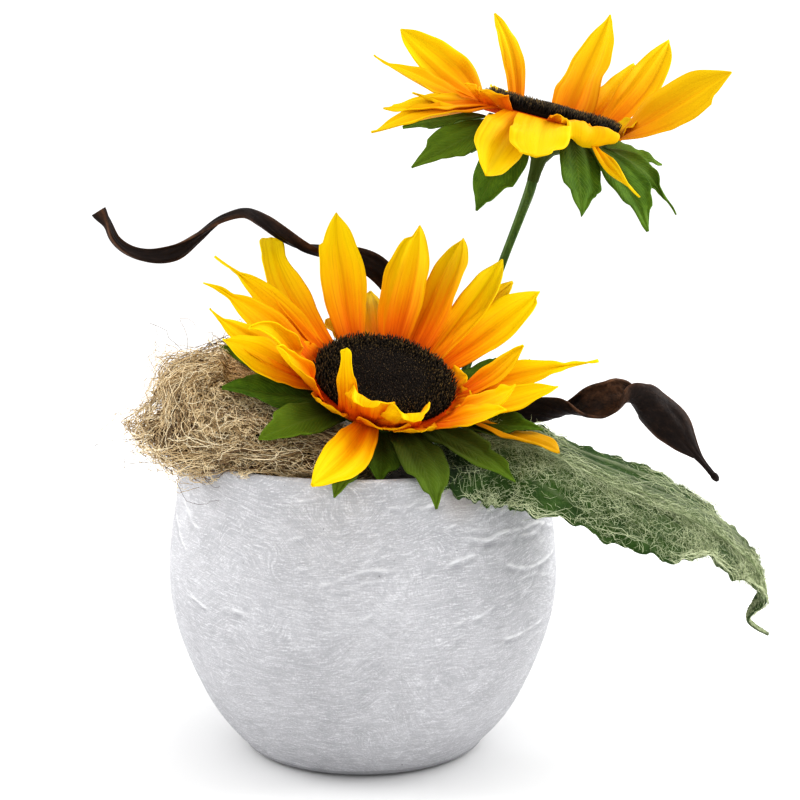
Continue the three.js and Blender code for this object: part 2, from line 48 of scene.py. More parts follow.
GAP = 0.35  # left between neighbouring solids
POT_HEIGHT = 118
POT_WALL = 4.5
POT_FLOOR = 7
RIM_ROUND = 2.2
# The pot's outside, as (height, radius).
POT_SIDE = [(0, 45.5), (14, 57.7), (30, 66.4), (47, 72.7), (65, 76), (84, 75), (101, 72.5), (118, 71.5)]
FOAM_TOP = 107

DISC_R = 26.5
DISC_EDGE = 2.2
DISC_DOME = 6
COLLAR_R = 28
COLLAR_TOP = -GAP
COLLAR_BASE = -3.3
PETAL_SEAT = {"radius": 27.4, "height": -0.9, "sunk": 6}
CUP_TOP = COLLAR_BASE - GAP
CUP_R = 24.5
CUP_DEPTH = 22
SEPAL_SEAT = {"radius": 24, "height": -5.4, "sunk": 7}
STEM_IN_CUP = 12

FRONT_HEAD = {"place": (8.5, -28, 147), "lean": 27, "roll": 12}
BACK_HEAD = {"place": (72.7, 15, 244.1), "lean": 2, "roll": 15}

FRONT_STEM_LINE = [(-3, -3, 68), (0, -9, 107)]
BACK_STEM_LINE = [(17, 21, 66), (28, 25.5, 107), (43, 31, 149), (54, 32, 182), (62.5, 27, 206)]
STALK_R = 3.2
POD_LEFT_LINE = [
    (10, 34, 74), (14, 33.5, 107), (19, 30, 137), (19, 27, 157), (14, 26, 174), (7, 26, 184),
    (-2, 26, 189), (-14, 22, 192), (-24, 16, 195), (-32, 10, 200), (-39, 10, 205), (-46, 14, 208),
    (-55, 16, 205.5), (-64, 14, 199), (-73, 8, 193), (-82, 4, 191.5), (-90, 4, 193.5), (-96, 6, 198),
    (-99, 8, 204), (-102, 8, 209),
]
POD_RIGHT_LINE = [
    (40, 4, 74), (41, 3, 107), (45, 1, 122), (56, -3, 131), (68, -5, 132), (79, -5, 132), (90, -4, 132.5),
    (101, -4, 133), (111, -6, 133.5), (119, -8, 130), (126, -8, 122), (131, -8, 114), (135.5, -8, 108),
]
LEAF_STALK_LINE = [(27, -24, 74), (33, -32, 107), (37, -37, 120), (44, -42, 126.5)]
LEAF_NEAR_SLOPE = -52
LEAF_FAR_SLOPE = 25

# ---------------------------------------------------------------- sizes of the finish

PETAL_THICK = 0.45
SEPAL_THICK = 0.55
PETAL_ROWS = 44
PETAL_COLUMNS = 16
BRISTLES = 5200
BRISTLE_THICK = 0.46
LEAF_ROWS = 220
LEAF_COLUMNS = 56
LEAF_THICK = 0.9
LEAF_HAIRS_ABOVE = 7800
LEAF_HAIRS_BELOW = 3600
LEAF_HAIRS_EDGE = 1000
LEAF_WOOL_STRANDS = 1700
HAIR_THICK = 0.15
NEST_FIBRES = 2000
FIBRE_THICK = 0.34
FIBRE_POINTS = 12
POD_SHELL_THICK = 1.1
POT_TURNS = 400
FOAM_TURNS = 170

# The woolly leaf: midrib point, half width towards the viewer, half width away.
LEAF_STATIONS = [
    (27, -38, 122, 11, 2), (31, -40.5, 124.5, 23, 4), (37, -43, 126.4, 27, 7), (44, -45, 127.4, 27, 10),
    (52, -47, 127.4, 26.5, 13), (61, -49, 125.6, 26, 16), (72, -51, 121, 24, 18), (86, -52, 114.2, 20, 19),
    (100, -52, 107.8, 21, 21.5), (114, -51, 101.6, 20, 22.5), (126.5, -48.5, 95, 12.5, 20),
    (137.5, -46, 86.6, 10, 15.5), (145.8, -43, 77.4, 7.6, 9), (148.8, -41, 69.5, 4.6, 4.6),
    (145.4, -39.4, 62.8, 1.8, 1.8), (144.4, -38.6, 59.2, 1.1, 1.1), (147.2, -38, 56, 0.9, 0.9),
    (152.7, -37, 52.6, 0.6, 0.6),
]
# Where a side vein leaves the midrib, as a share of the length, and how steeply it runs out.
LEAF_VEINS = [
    (-0.06, 0.16), (0.04, 0.10), (0.12, 0.07), (0.20, 0.055), (0.29, 0.05), (0.38, 0.045),
    (0.48, 0.04), (0.56, 0.04),
]

# Petals and sepals. at: direction round the head in degrees (0 right, 90 away, -90 to the viewer);
# rise: slope at the root; bend: change of slope to the tip; long, wide: its size; tilt: turn about the
# midrib; sway: sideways bend of the midrib; twist: turn of the part past twist_from; lip: slope added
# past lip_from; cup: angle of both edges; curl: angle added to the two edges past curl_from; tail: share
# of the length that is a thin tail; root, tip: share of the width left there; peak: where the blade is
# widest; notch: (side, place, depth) of a step in an edge; fold: depth of the creases; wave: rise of the
# edges; dim: painted shade, how far a blade lying in shadow is coloured down to ochre; deep: how far the
# dark colour of the root reaches, which on petals is their own red-orange root pushed further out as
# painted shade and on sepals is painted shade.
PLAIN_BLADE = {
    "tilt": 0, "sway": 0, "twist": 0, "twist_from": 0.6, "lip": 0, "lip_from": 0.6, "cup": 25,
    "curl": (0, 0), "curl_from": 0, "tail": 0, "tip": 0, "peak": 0.5, "notch": (), "fold": 0.75,
    "wave": 0.6, "root": 0.56, "dim": 0, "deep": 0,
}


def blade(at, rise, bend, long, wide, **more):
    return {**PLAIN_BLADE, "at": at, "rise": rise, "bend": bend, "long": long, "wide": wide, **more}


FRONT_PETALS = [
    blade(122, 40, -11, 54, 19.4, notch=[(1, 0.72, 0.2)], peak=0.52, tilt=4, sway=-19),
    blade(102, -1, -14, 46, 10, tilt=-6, sway=-8, dim=0.35),
    blade(89, 37, -15, 54, 19.1, notch=[(1, 0.87, 0.5)], fold=1.1, tilt=-22, sway=-2),
    blade(70, 39, -28, 58, 17.1, fold=1.1, sway=16, tilt=-28),
    blade(55, 34, -20, 56, 14.0, sway=20, tilt=-5),
    blade(57, 21, -10, 54, 15, dim=0.3),
    blade(43, 27, -8, 53, 16.8, tilt=15, notch=[(-1, 0.9, 0.5)], sway=8),
    blade(5, 37, 18, 32, 9.1, sway=33, tilt=20, deep=0.12),
    blade(8, 29, -15, 55, 14.6, tilt=5, tail=0.26, twist=120, twist_from=0.66, wave=1.1, sway=10),
    blade(-15, 25, 7, 41, 13.1, tilt=8, sway=30, deep=0.1),
    blade(-19, 4, 14, 47, 13.5, tilt=-12, sway=-23, dim=0.85, root=0.3, peak=0.7),
    blade(-33, 45, 4, 40, 13, lip=34, lip_from=0.78, wave=0.9, tilt=26, sway=4, cup=18, root=0.7,
          deep=0.14),
    blade(-44, 38, 8, 40, 11, sway=6, tilt=30, root=0.7, deep=0.2),
    blade(-74, 52, 6, 24, 19, lip=-120, lip_from=0.78, cup=40, curl=(0, 0), wave=1.3, tip=0.45, root=0.85,
          peak=0.6, tilt=8, deep=0.26),
    blade(-98, 60, 0, 25, 19, lip=-125, lip_from=0.8, cup=34, wave=1.1, tip=0.55, root=0.8, peak=0.6,
          tilt=-4, deep=0.3),
    blade(-97, 7, 1, 51, 16.1, cup=18, fold=1.1, tilt=-15, sway=-19, dim=0.14),
    blade(-112.5, 67, 2, 41, 8, tip=0.5, peak=0.35, root=1.0, tilt=8, deep=0.12),
    blade(-140, 52, -5, 42, 10.1, tilt=-37, tip=0.3, curl=(60, 60), wave=0.8, sway=14, deep=0.1),
    blade(-160, 50, 0, 42, 16, tilt=-14, curl=(115, 15), curl_from=0.15, lip=-40, lip_from=0.7, tip=0.2,
          wave=0.7, sway=22, deep=0.06),
    blade(-161, 25, 5, 40, 16.5, tilt=-29, cup=40, notch=[(-1, 0.93, 0.6)], sway=-2),
    blade(-166, 27, 10, 48, 13.5, tilt=-24, tail=0.14, sway=-10),
    blade(176, 31, 4, 52, 16.1, tilt=-22, tail=0.24, lip=-25, lip_from=0.8, sway=8),
    blade(154, 24, -20, 59, 11.0, tilt=-27, tail=0.26, sway=-9),
    blade(148, 21, -10, 58, 16.5, tilt=6, tip=0.62, fold=1.1, sway=-44),
    blade(124, 4, -10, 17, 13, dim=0.3),
    blade(-86, 36, 0, 11, 20, root=0.9, tip=0.3, cup=24, dim=0.15, deep=0.45),
    blade(-64, 32, 0, 10, 18, root=0.9, tip=0.3, cup=10, dim=0.2, deep=0.45),
    blade(-126, 36, 0, 10, 16, root=0.9, tip=0.2, cup=10, dim=0.2, deep=0.45),
    blade(169, 24, 0, 9, 14, root=0.9, tip=0.3, deep=0.4),
    blade(22, 26, 0, 6, 13, root=0.9, tip=0.3, deep=0.4),
    blade(-5, 26, 0, 7, 13, root=0.9, tip=0.3, deep=0.35),
]
FRONT_SEPALS = [
    blade(178, 9, -5, 39, 14, tilt=-15),
    blade(-152, 16, -6, 41, 16, tilt=-12),
    blade(-129, 14, -16, 39, 17, tilt=-8, deep=0.1),
    blade(-99, 4, -24, 37, 15, deep=0.4),
    blade(-66, 20, -46, 41, 18, notch=[(-1, 0.84, 0.55)], deep=0.4),
    blade(-42, 18, -18, 46, 17, deep=0.4),
    blade(-17, 19, -4, 40, 15, tilt=10, deep=0.35),
    blade(22, 20, 6, 36, 15, wave=0.9),
    blade(63, 12, 10, 37, 15),
    blade(106, -4, 0, 31, 14),
    blade(142, 8, 0, 35, 14),
    blade(-84, 2, -20, 25, 16, deep=0.4),
]
BACK_PETALS = [
    blade(158, 23, 5, 46, 18.4, tilt=-55, fold=1.1, sway=12, dim=0.12),
    blade(176, -1, 20, 46, 12.9, tilt=-27, tail=0.16, sway=2, dim=0.22),
    blade(-163, -17, 21, 29, 10.8, tilt=-33, tail=0.3, sway=-13, root=0.7, dim=0.22),
    blade(-162, -16, -3, 40, 13.3, tilt=-21, notch=[(-1, 0.9, 0.5)], sway=-12, root=1.0, cup=45, dim=0.22),
    blade(-154, -20, -12, 48, 13.2, tilt=-16, sway=-17, root=1.0, cup=40, dim=0.22),
    blade(-116, -32, 2, 47, 19, cup=14, tilt=-25, sway=24, root=0.85, tip=0.12, deep=-0.12, dim=0.22),
    blade(-98, -10, -22, 37, 22, cup=10, tilt=13, sway=8, root=0.95, tip=0.55, peak=0.62, wave=1.0,
          dim=0.22, deep=-0.25),
    blade(-72, 18, 0, 22, 22, lip=-165, lip_from=0.3, tip=0.5, root=0.7, cup=4, wave=1.6, peak=0.6,
          dim=0.22, deep=0.12),
    blade(-66, -24, 4, 45, 4.8, twist=210, twist_from=0.3, root=0.7, tip=0.2, cup=10, wave=0.2, tilt=-10,
          sway=17, dim=0.22),
    blade(-4, 44, 4, 50, 19.2, tilt=66, peak=0.56, notch=[(-1, 0.75, 0.3)], fold=1.1, sway=-8, dim=0.4,
          root=0.8),
    blade(36, 53, -3, 56, 15.5, tilt=18, tip=0.1, fold=1.1, sway=37, dim=0.28),
    blade(53, 41, 0, 48, 14.5, tilt=0, sway=22, dim=0.22),
    blade(71, 58, 8, 55, 23.4, fold=1.2, peak=0.42, sway=5, tilt=-34, dim=0.22),
    blade(92, 6, -10, 34, 14, dim=0.22),
    blade(108, 15, -10, 44, 14, dim=0.22),
    blade(116, 65, -38, 52, 9.3, tilt=-21, sway=7, dim=0.22),
    blade(-142, 24, 0, 11, 17, root=1.0, tip=0.3, cup=30, deep=0.45, dim=0.22),
    blade(-172, 34, 0, 10, 15, root=1.0, tip=0.3, cup=30, deep=0.4, dim=0.22),
    blade(-80, 16, 0, 7, 16, root=1.0, tip=0.3, cup=20, deep=0.4, dim=0.22),
    blade(12, 52, 0, 13, 17, root=1.0, tip=0.3, deep=0.15, dim=0.22),
]
BACK_SEPALS = [
    blade(178, -18, -10, 33, 13, tilt=-32),
    blade(-142, -30, -10, 44, 15, tilt=-32),
    blade(-116, -46, -20, 41, 17, tilt=-35),
    blade(-69, -37, -20, 35, 18),
    blade(-46, -18, -30, 45, 16, tilt=25),
    blade(-8, -8, -40, 38, 14, tilt=30, tail=0.4, twist=160, twist_from=0.5),
    blade(22, 4, -8, 30, 14, tilt=25, wave=1.0),
    blade(58, -12, -20, 32, 15),
    blade(118, -20, -20, 32, 15),
]

# The right pod's curled strip: middle (x, y, z), half width, direction of its first edge (0 to the
# viewer, 90 up) and how far both edges curl over.
POD_RIGHT_STRIP = [
    (46, 0, 124.5, 3.2, 90, 45), (57, -2, 130.0, 4.6, 92, 50), (68, -3, 132.2, 5.6, 84, 60),
    (74, -4, 132.4, 6.4, 58, 80), (80, -4, 133.0, 7.6, 4, 98), (86, -5, 134.2, 8.4, -50, 82),
    (91, -5, 135.6, 8.6, -68, 72), (96, -5, 137.0, 8.8, -62, 82), (100, -5, 138.4, 9.6, -28, 104),
    (103.5, -5, 138.8, 10.4, 8, 114), (107, -5, 137.0, 10.0, 46, 98), (111, -6, 134.0, 9.2, 78, 76),
    (116, -6, 130.2, 8.8, 90, 64), (120.5, -7, 126.0, 7.6, 94, 56), (124.6, -8, 121.0, 5.4, 97, 52),
    (130, -8, 114.6, 1.5, 100, 60), (136, -8, 107.4, 0.8, 104, 80),
]
# The left pod's half width at each point of its line.
POD_LEFT_HALF = [
    3.2, 3.4, 4.6, 5.2, 5.2, 4.9, 4.4, 3.7, 3.6, 3.2, 2.6, 2.4, 2.7, 3.0, 3.1, 2.8, 2.6, 2.5, 2.6, 3.2,
]


# ---------------------------------------------------------------- curves and numbers

def unit(vectors):
    return vectors / np.maximum(np.linalg.norm(vectors, axis=-1, keepdims=True), 1e-9)


def ease(values):
    """0 below 0, 1 above 1 and smooth between."""
    values = np.clip(values, 0, 1)
    return values * values * (3 - 2 * values)


def curve_at(points, stations):
    """Places on the smooth curve through the points. A station of 1.5 is midway from point 1 to 2."""
    points = np.array(points, float)
    padded = np.array([2 * points[0] - points[1], *points, 2 * points[-1] - points[-2]])
    first = np.clip(np.floor(stations).astype(int), 0, len(points) - 2)
    share = (stations - first)[:, None]
    corners = [padded[first + k] for k in range(4)]
    steps = [np.sqrt(np.linalg.norm(corners[k + 1] - corners[k], axis=1))[:, None] for k in range(3)]

    def slope(k):
        before, after = steps[k - 1], steps[k]
        lean = (corners[k] - corners[k - 1]) / before - (corners[k + 1] - corners[k - 1]) / (before + after)
        return (lean + (corners[k + 1] - corners[k]) / after) * steps[1]

    square, cube = share**2, share**3
    place = (2 * cube - 3 * square + 1) * corners[1] + (3 * square - 2 * cube) * corners[2]
    return place + (cube - 2 * square + share) * slope(1) + (cube - square) * slope(2)


def direction_at(points, stations):
    """The way in which the smooth curve through the points runs at each station."""
    last = len(points) - 1
    return unit(curve_at(points, np.minimum(stations + 0.02, last))
                - curve_at(points, np.maximum(stations - 0.02, 0)))


def even_line(points, steps):
    """The smooth curve through the points, cut into steps of one length."""
    fine = curve_at(points, np.linspace(0, len(points) - 1, 40 * len(points)))
    reach = np.append(0, np.cumsum(np.linalg.norm(np.diff(fine, axis=0), axis=1)))
    wanted = np.linspace(0, reach[-1], steps + 1)
    return np.column_stack([np.interp(wanted, reach, fine[:, k]) for k in range(3)])


def station_reach(points):
    """The share of the curve's length at which each of its points lies."""
    fine = curve_at(points, np.linspace(0, len(points) - 1, 40 * (len(points) - 1) + 1))
    reach = np.append(0, np.cumsum(np.linalg.norm(np.diff(fine, axis=0), axis=1)))
    return reach[::40] / reach[-1]


def turned_frames(line):
    """Tangent, normal and binormal along a line, turning no more than the line does."""
    tangents = unit(np.gradient(line, axis=0))
    axis = np.eye(3)[np.argmin(np.abs(tangents[0]))]
    normals = [np.cross(tangents[0], unit(np.cross(tangents[0], axis)))]
    for tangent in tangents[1:]:
        normal = normals[-1] - np.dot(normals[-1], tangent) * tangent
        normals.append(unit(normal))
    normals = np.array(normals)
    return tangents, normals, np.cross(tangents, normals)


def seated_line(line):
    """The line with its stretch in the foam, and a little above it, made straight."""
    end, mouth = np.array(line[0], float), np.array(line[1], float)
    along = unit(mouth - end)
    return [end, *(mouth + along * reach for reach in (-12, 0, 3)), *map(np.array, line[2:])]


def head_matrix(head):
    """From a head's own frame, its face up, to the frame of the whole."""
    turn = Matrix.Rotation(math.radians(head["roll"]), 4, "Y") @ Matrix.Rotation(
        math.radians(head["lean"]), 4, "X"
    )
    return Matrix.Translation(head["place"]) @ turn


def moved(matrix, spots):
    """Spots in a head's own frame as spots in the frame of the whole."""
    matrix = np.array(matrix)
    return spots @ matrix[:3, :3].T + matrix[:3, 3]


def pot_radius(height):
    heights, radii = np.array(POT_SIDE).T
    fine = curve_at(np.column_stack([heights, radii]), np.linspace(0, len(POT_SIDE) - 1, 200))
    return np.interp(height, fine[:, 0], fine[:, 1])


# ---------------------------------------------------------------- making pieces

def show_piece(name, mesh, finish, nodes):
    """A piece of the object: it rides on the root body and stands for the CAD nodes named."""
    piece = bpy.data.objects.new(name, mesh)
    bpy.context.scene.collection.objects.link(piece)
    mesh.materials.append(finish)
    mesh.polygons.foreach_set("use_smooth", [True] * len(mesh.polygons))
    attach(piece, "root")
    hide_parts(*nodes)
    return piece


def mesh_piece(name, bm, finish, nodes, thick=0):
    """A piece from a bmesh in millimetres. A sheet gets its thickness, a closed body doesn't."""
    bmesh.ops.scale(bm, vec=(MM, MM, MM), verts=bm.verts)
    if not thick:
        bmesh.ops.recalc_face_normals(bm, faces=bm.faces)
    mesh = bpy.data.meshes.new(name)
    bm.to_mesh(mesh)
    bm.free()
    piece = show_piece(name, mesh, finish, nodes)
    if thick:
        shell = piece.modifiers.new("thickness", "SOLIDIFY")
        shell.thickness = thick * MM
        shell.offset = 0
    return piece


def strand_piece(name, lines, thick, taper, finish, nodes, seed):
    """Thin closed strands along lines that all have the same number of points."""
    data = bpy.data.curves.new(name, "CURVE")
    data.dimensions = "3D"
    data.bevel_depth = thick / 2 * MM
    data.bevel_resolution = 0
    count = lines.shape[1]
    spots = np.ones((len(lines), count, 4))
    spots[:, :, :3] = lines * MM
    for line in spots:
        spline = data.splines.new("POLY")
        spline.points.add(count - 1)
        spline.points.foreach_set("co", line.ravel())
        spline.points.foreach_set("radius", taper)
    curve = bpy.data.objects.new(name + "_lines", data)
    bpy.context.scene.collection.objects.link(curve)
    depsgraph = bpy.context.evaluated_depsgraph_get()
    mesh = bpy.data.meshes.new_from_object(curve.evaluated_get(depsgraph))
    bpy.data.objects.remove(curve)
    mesh.name = name
    tone = mesh.attributes.new("tone", "FLOAT", "POINT")
    tone.data.foreach_set("value", np.repeat(np.random.default_rng(seed).random(len(lines)), 4 * count))
    along = mesh.attributes.new("along", "FLOAT", "POINT")
    along.data.foreach_set("value", np.tile(np.repeat(np.linspace(0, 1, count), 4), len(lines)))
    bm = bmesh.new()
    bm.from_mesh(mesh)
    bmesh.ops.holes_fill(bm, edges=[edge for edge in bm.edges if edge.is_boundary], sides=4)
    bmesh.ops.recalc_face_normals(bm, faces=bm.faces)
    bm.to_mesh(mesh)
    bm.free()
    return show_piece(name, mesh, finish, nodes)


def add_sheet(bm, rows, columns, place):
    """A grid whose point at t (0 to 1 along) and u (-1 to 1 across) is put at place(t, u)."""
    bm.loops.layers.uv.verify()
    made = bmesh.ops.create_grid(bm, x_segments=columns, y_segments=rows, size=1, calc_uvs=True)["verts"]
    flat = np.array([vert.co[:2] for vert in made])
    for vert, spot in zip(made, place((flat[:, 1] + 1) / 2, flat[:, 0])):
        vert.co = spot
    return made


def add_tube(bm, line, sides, section):
    """A closed body along an even line; section(t, angle) gives its skin as (across, through). What
    comes back are (vertex, angle) pairs.
    """
    _, normals, binormals = turned_frames(line)
    reach = np.linspace(0, 1, len(line))
    angles = []

    def place(t, u):
        angle = (u + 1) * math.pi
        angles.extend(angle)
        across, through = section(t, angle)
        follow = lambda rows: np.column_stack([np.interp(t, reach, rows[:, k]) for k in range(3)])
        return follow(line) + follow(normals) * across[:, None] + follow(binormals) * through[:, None]

    made = add_sheet(bm, len(line) - 1, sides, place)
    bmesh.ops.remove_doubles(bm, verts=made, dist=1e-4)
    open_edges = [edge for edge in bm.edges if edge.is_boundary]
    bmesh.ops.holes_fill(bm, edges=open_edges, sides=sides)
    return [(vert, angle) for vert, angle in zip(made, angles) if vert.is_valid]


def round_section(radius):
    """A round section for add_tube; its radius(t, angle) may change along it and round it."""
    return lambda t, angle: (radius(t, angle) * np.cos(angle), radius(t, angle) * np.sin(angle))


def add_turned(bm, profile, turns):
    """A profile of (radius, height) turned round +Z."""
    verts = [bm.verts.new((radius, 0, height)) for radius, height in profile]
    edges = [bm.edges.new(pair) for pair in zip(verts, verts[1:])]
    bmesh.ops.spin(
        bm, geom=verts + edges, cent=(0, 0, 0), axis=(0, 0, 1), angle=2 * math.pi,
        steps=turns, use_merge=True, use_duplicate=False,
    )
    bmesh.ops.remove_doubles(bm, verts=bm.verts, dist=1e-4)


# ---------------------------------------------------------------- nodes of the finishes

def new_finish(name, roughness, **sockets):
    """A new material, its node tree and its Principled shader with constants set on its sockets."""
    material = bpy.data.materials.new(name)
    material.use_nodes = True
    tree = material.node_tree
    shader = next(node for node in tree.nodes if node.type == "BSDF_PRINCIPLED")
    shader.inputs["Roughness"].default_value = roughness
    for socket, value in sockets.items():
        shader.inputs[socket.replace("_", " ")].default_value = value
    return material, tree, shader


def add(tree, kind, inputs=(), **settings):
    """A node in the tree. inputs maps its sockets to values or to the sockets that feed them."""
    node = tree.nodes.new("ShaderNode" + kind)
    for setting, value in settings.items():
        setattr(node, setting, value)
    for socket, value in dict(inputs).items():
        if isinstance(value, bpy.types.NodeSocket):
            tree.links.new(value, node.inputs[socket])
        else:
            node.inputs[socket].default_value = value
    return node


def maths(tree, operation, first, second=0.0):
    return add(tree, "Math", {0: first, 1: second}, operation=operation).outputs[0]


def times(tree, first, second):
    return maths(tree, "MULTIPLY", first, second)


def plus(tree, first, second):
    return maths(tree, "ADD", first, second)


def minus(tree, first, second):
    return maths(tree, "SUBTRACT", first, second)


def shares(tree, first, first_share, second, second_share):
    """A share of one value and a share of another, added."""
    return plus(tree, times(tree, first, first_share), times(tree, second, second_share))


def about_half(tree, value, reach):
    """How far a value is from 0.5, times the reach."""
    return times(tree, minus(tree, value, 0.5), reach)


def mix(tree, factor, first, second, blend="MIX"):
    """Two colours mixed."""
    colour = lambda value: (*value, 1) if isinstance(value, tuple) else value
    inputs = {0: factor, 6: colour(first), 7: colour(second)}
    return add(tree, "Mix", inputs, data_type="RGBA", blend_type=blend).outputs[2]


def ramp(tree, factor, stops):
    """A colour ramp from (place, colour) stops."""
    node = add(tree, "ValToRGB", {0: factor})
    elements = node.color_ramp.elements
    while len(elements) < len(stops):
        elements.new(0.5)
    for element, (place, colour) in zip(elements, stops):
        element.position = place
        element.color = (*colour, 1) if isinstance(colour, tuple) else (colour, colour, colour, 1)
    return node.outputs[0]


def noise_of(tree, vector, scale, detail=3.0, rough=0.5, warp=0.0):
    inputs = {"Vector": vector, "Scale": scale, "Detail": detail, "Roughness": rough, "Distortion": warp}
    return add(tree, "TexNoise", inputs).outputs[0]


def stretched(tree, vector, scale, turn=(0, 0, 0)):
    return add(tree, "Mapping", {"Vector": vector, "Scale": scale, "Rotation": turn}).outputs[0]


def bump(tree, height, distance, strength=1.0, normal=None):
    inputs = {"Height": height, "Distance": distance, "Strength": strength}
    if normal:
        inputs["Normal"] = normal
    return add(tree, "Bump", inputs).outputs[0]


def object_place(tree):
    return add(tree, "TexCoord").outputs["Object"]


def blade_map(tree):
    return add(tree, "TexCoord").outputs["UV"]


def aside_and_along(tree):
    """From a blade's own UV map: how far from the midrib (0 to 0.5) and how far along (0 to 1)."""
    place = add(tree, "SeparateXYZ", {0: blade_map(tree)}).outputs
    return maths(tree, "ABSOLUTE", minus(tree, place[0], 0.5)), place[1]


def attribute(tree, name):
    return add(tree, "Attribute", attribute_name=name).outputs["Fac"]


def new_group(name, result, **sockets):
    """A node group with the given inputs, each with its kind, and one number that it puts out."""
    group = bpy.data.node_groups.new(name, "ShaderNodeTree")
    for socket, kind in sockets.items():
        group.interface.new_socket(socket, in_out="INPUT", socket_type="NodeSocket" + kind)
    group.interface.new_socket(result, in_out="OUTPUT", socket_type="NodeSocketFloat")
    given = group.nodes.new("NodeGroupInput").outputs
    return group, given, group.nodes.new("NodeGroupOutput")


def streaks_group():
    """Fine lengthwise streaks on a blade's own UV map, different on each blade by its tone."""
    group, given, result = new_group(
        "lengthwise_streaks", "Streaks", UV="Vector", Tone="Float", Count="Float", Length="Float")
    scale = add(group, "CombineXYZ", {0: given["Count"], 1: given["Length"], 2: 1.0}).outputs[0]
    shift = times(group, given["Tone"], 37.0)
    apart = add(group, "CombineXYZ", {2: shift}).outputs[0]
    stretch = add(group, "VectorMath", {0: given["UV"], 1: scale}, operation="MULTIPLY").outputs[0]
    spot = add(group, "VectorMath", {0: stretch, 1: apart}, operation="ADD").outputs[0]
    broad = noise_of(group, spot, 1.0, 2.0)
    fine = noise_of(group, spot, 3.1, 3.0, 0.6)
    both = shares(group, broad, 0.6, fine, 0.4)
    group.links.new(both, result.inputs["Streaks"])
    return group


def mottle_group():
    """Two sizes of cloudy variation on Object coordinates, Size being the larger one in metres."""
    group, given, result = new_group("mottle", "Mottle", Place="Vector", Size="Float")
    scale = maths(group, "DIVIDE", 1.0, given["Size"])
    broad = noise_of(group, given["Place"], scale, 2.0)
    fine = noise_of(group, given["Place"], times(group, scale, 5.0), 4.0, 0.65)
    both = shares(group, broad, 0.55, fine, 0.45)
    group.links.new(both, result.inputs["Mottle"])
    return group


STREAKS = streaks_group()
MOTTLE = mottle_group()


def streaks(tree, tone, count, length):
    inputs = {"UV": blade_map(tree), "Tone": tone, "Count": count, "Length": length}
    return add(tree, "Group", inputs, node_tree=STREAKS).outputs[0]


def mottle(tree, size):
    return add(tree, "Group", {"Place": object_place(tree), "Size": size}, node_tree=MOTTLE).outputs[0]


def finish_colour(tree, shader, colour, normal=None, roughness=None):
    """Feeds a shader what changes over the surface."""
    tree.links.new(colour, shader.inputs["Base Color"])
    if normal:
        tree.links.new(normal, shader.inputs["Normal"])
    if roughness:
        tree.links.new(roughness, shader.inputs["Roughness"])


# ---------------------------------------------------------------- finishes

def petal_finish():
    """Red-orange at the root, orange in the middle and yellow to the tip, in fine lengthwise streaks, with
    painted shade in the creases and on the blades that lie in shadow.
    """
    material, tree, shader = new_finish("petal_yellow", 0.6, Specular_IOR_Level=0.06)
    tone = attribute(tree, "tone")
    side, along = aside_and_along(tree)
    fine = streaks(tree, tone, 16.0, 1.1)
    broad = streaks(tree, tone, 5.0, 0.8)
    reach = plus(tree, along, about_half(tree, fine, 0.34))
    reach = plus(tree, reach, about_half(tree, broad, 0.42))
    reach = plus(tree, reach, times(tree, side, 0.22))
    reach = plus(tree, reach, about_half(tree, tone, 0.16))
    # The dark root colour pushed further out by deep: partly the petals' own red-orange root, partly painted
    # shade at the roots.
    reach = minus(tree, reach, attribute(tree, "deep"))
    colour = ramp(tree, reach, [
        (0.06, (0.57, 0.066, 0.0)),
        (0.21, (0.72, 0.137, 0.0)),
        (0.38, (0.775, 0.262, 0.0)),
        (0.56, (0.785, 0.39, 0.0)),
        (0.80, (0.785, 0.505, 0.0)),
        (1.00, (0.785, 0.55, 0.001)),
    ])
    # Painted shade: the darker streak lines stand in for shade in the fine creases.
    shade = ramp(tree, fine, [(0.30, 0.82), (0.50, 1.0), (1.0, 1.0)])
    colour = mix(tree, 1.0, colour, shade, "MULTIPLY")
    # Painted shade: blades lying in shadow are coloured down towards a dull ochre.
    colour = mix(tree, attribute(tree, "dim"), colour, (0.50, 0.24, 0.004))
    normal = bump(tree, fine, 0.0007, 0.4)
    finish_colour(tree, shader, colour, normal, ramp(tree, fine, [(0.3, 0.66), (0.7, 0.5)]))
    return material


def sepal_finish():
    """Matt green cloth leaf with a paler midrib, faint side veins and painted shade darkening it towards the
    root, furthest on the sepals under the head.
    """
    material, tree, shader = new_finish("sepal_green", 0.65, Specular_IOR_Level=0.1)
    tone = attribute(tree, "tone")
    side, along = aside_and_along(tree)
    fine = streaks(tree, tone, 14.0, 2.0)
    cloud = mottle(tree, 0.012)
    forward = minus(tree, along, times(tree, side, 0.7))
    phase = times(tree, forward, 58.0)
    vein = maths(tree, "POWER", maths(tree, "ABSOLUTE", maths(tree, "SINE", phase)), 14.0)
    rib = ramp(tree, side, [(0.0, 1.0), (0.035, 0.0), (1.0, 0.0)])
    base = ramp(tree, cloud, [
        (0.3, (0.030, 0.072, 0.005)), (0.55, (0.072, 0.145, 0.009)), (0.8, (0.13, 0.22, 0.014)),
    ])
    worn = mix(tree, ramp(tree, tone, [(0.2, 0.0), (1.0, 0.5)]), base, (0.12, 0.18, 0.008))
    veined = mix(tree, times(tree, vein, 0.22), worn, (0.17, 0.26, 0.03))
    ribbed = mix(tree, times(tree, rib, 0.35), veined, (0.15, 0.22, 0.04))
    # Painted shade: darker towards the root, and further out on the sepals that lie under the head.
    shaded = minus(tree, along, attribute(tree, "deep"))
    root_shaded = mix(tree, ramp(tree, shaded, [(0.12, 0.75), (0.58, 0.0)]), ribbed, (0.026, 0.030, 0.005))
    height = shares(tree, vein, -0.5, fine, 0.5)
    finish_colour(tree, shader, root_shaded, bump(tree, height, 0.0004, 0.6))
    return material


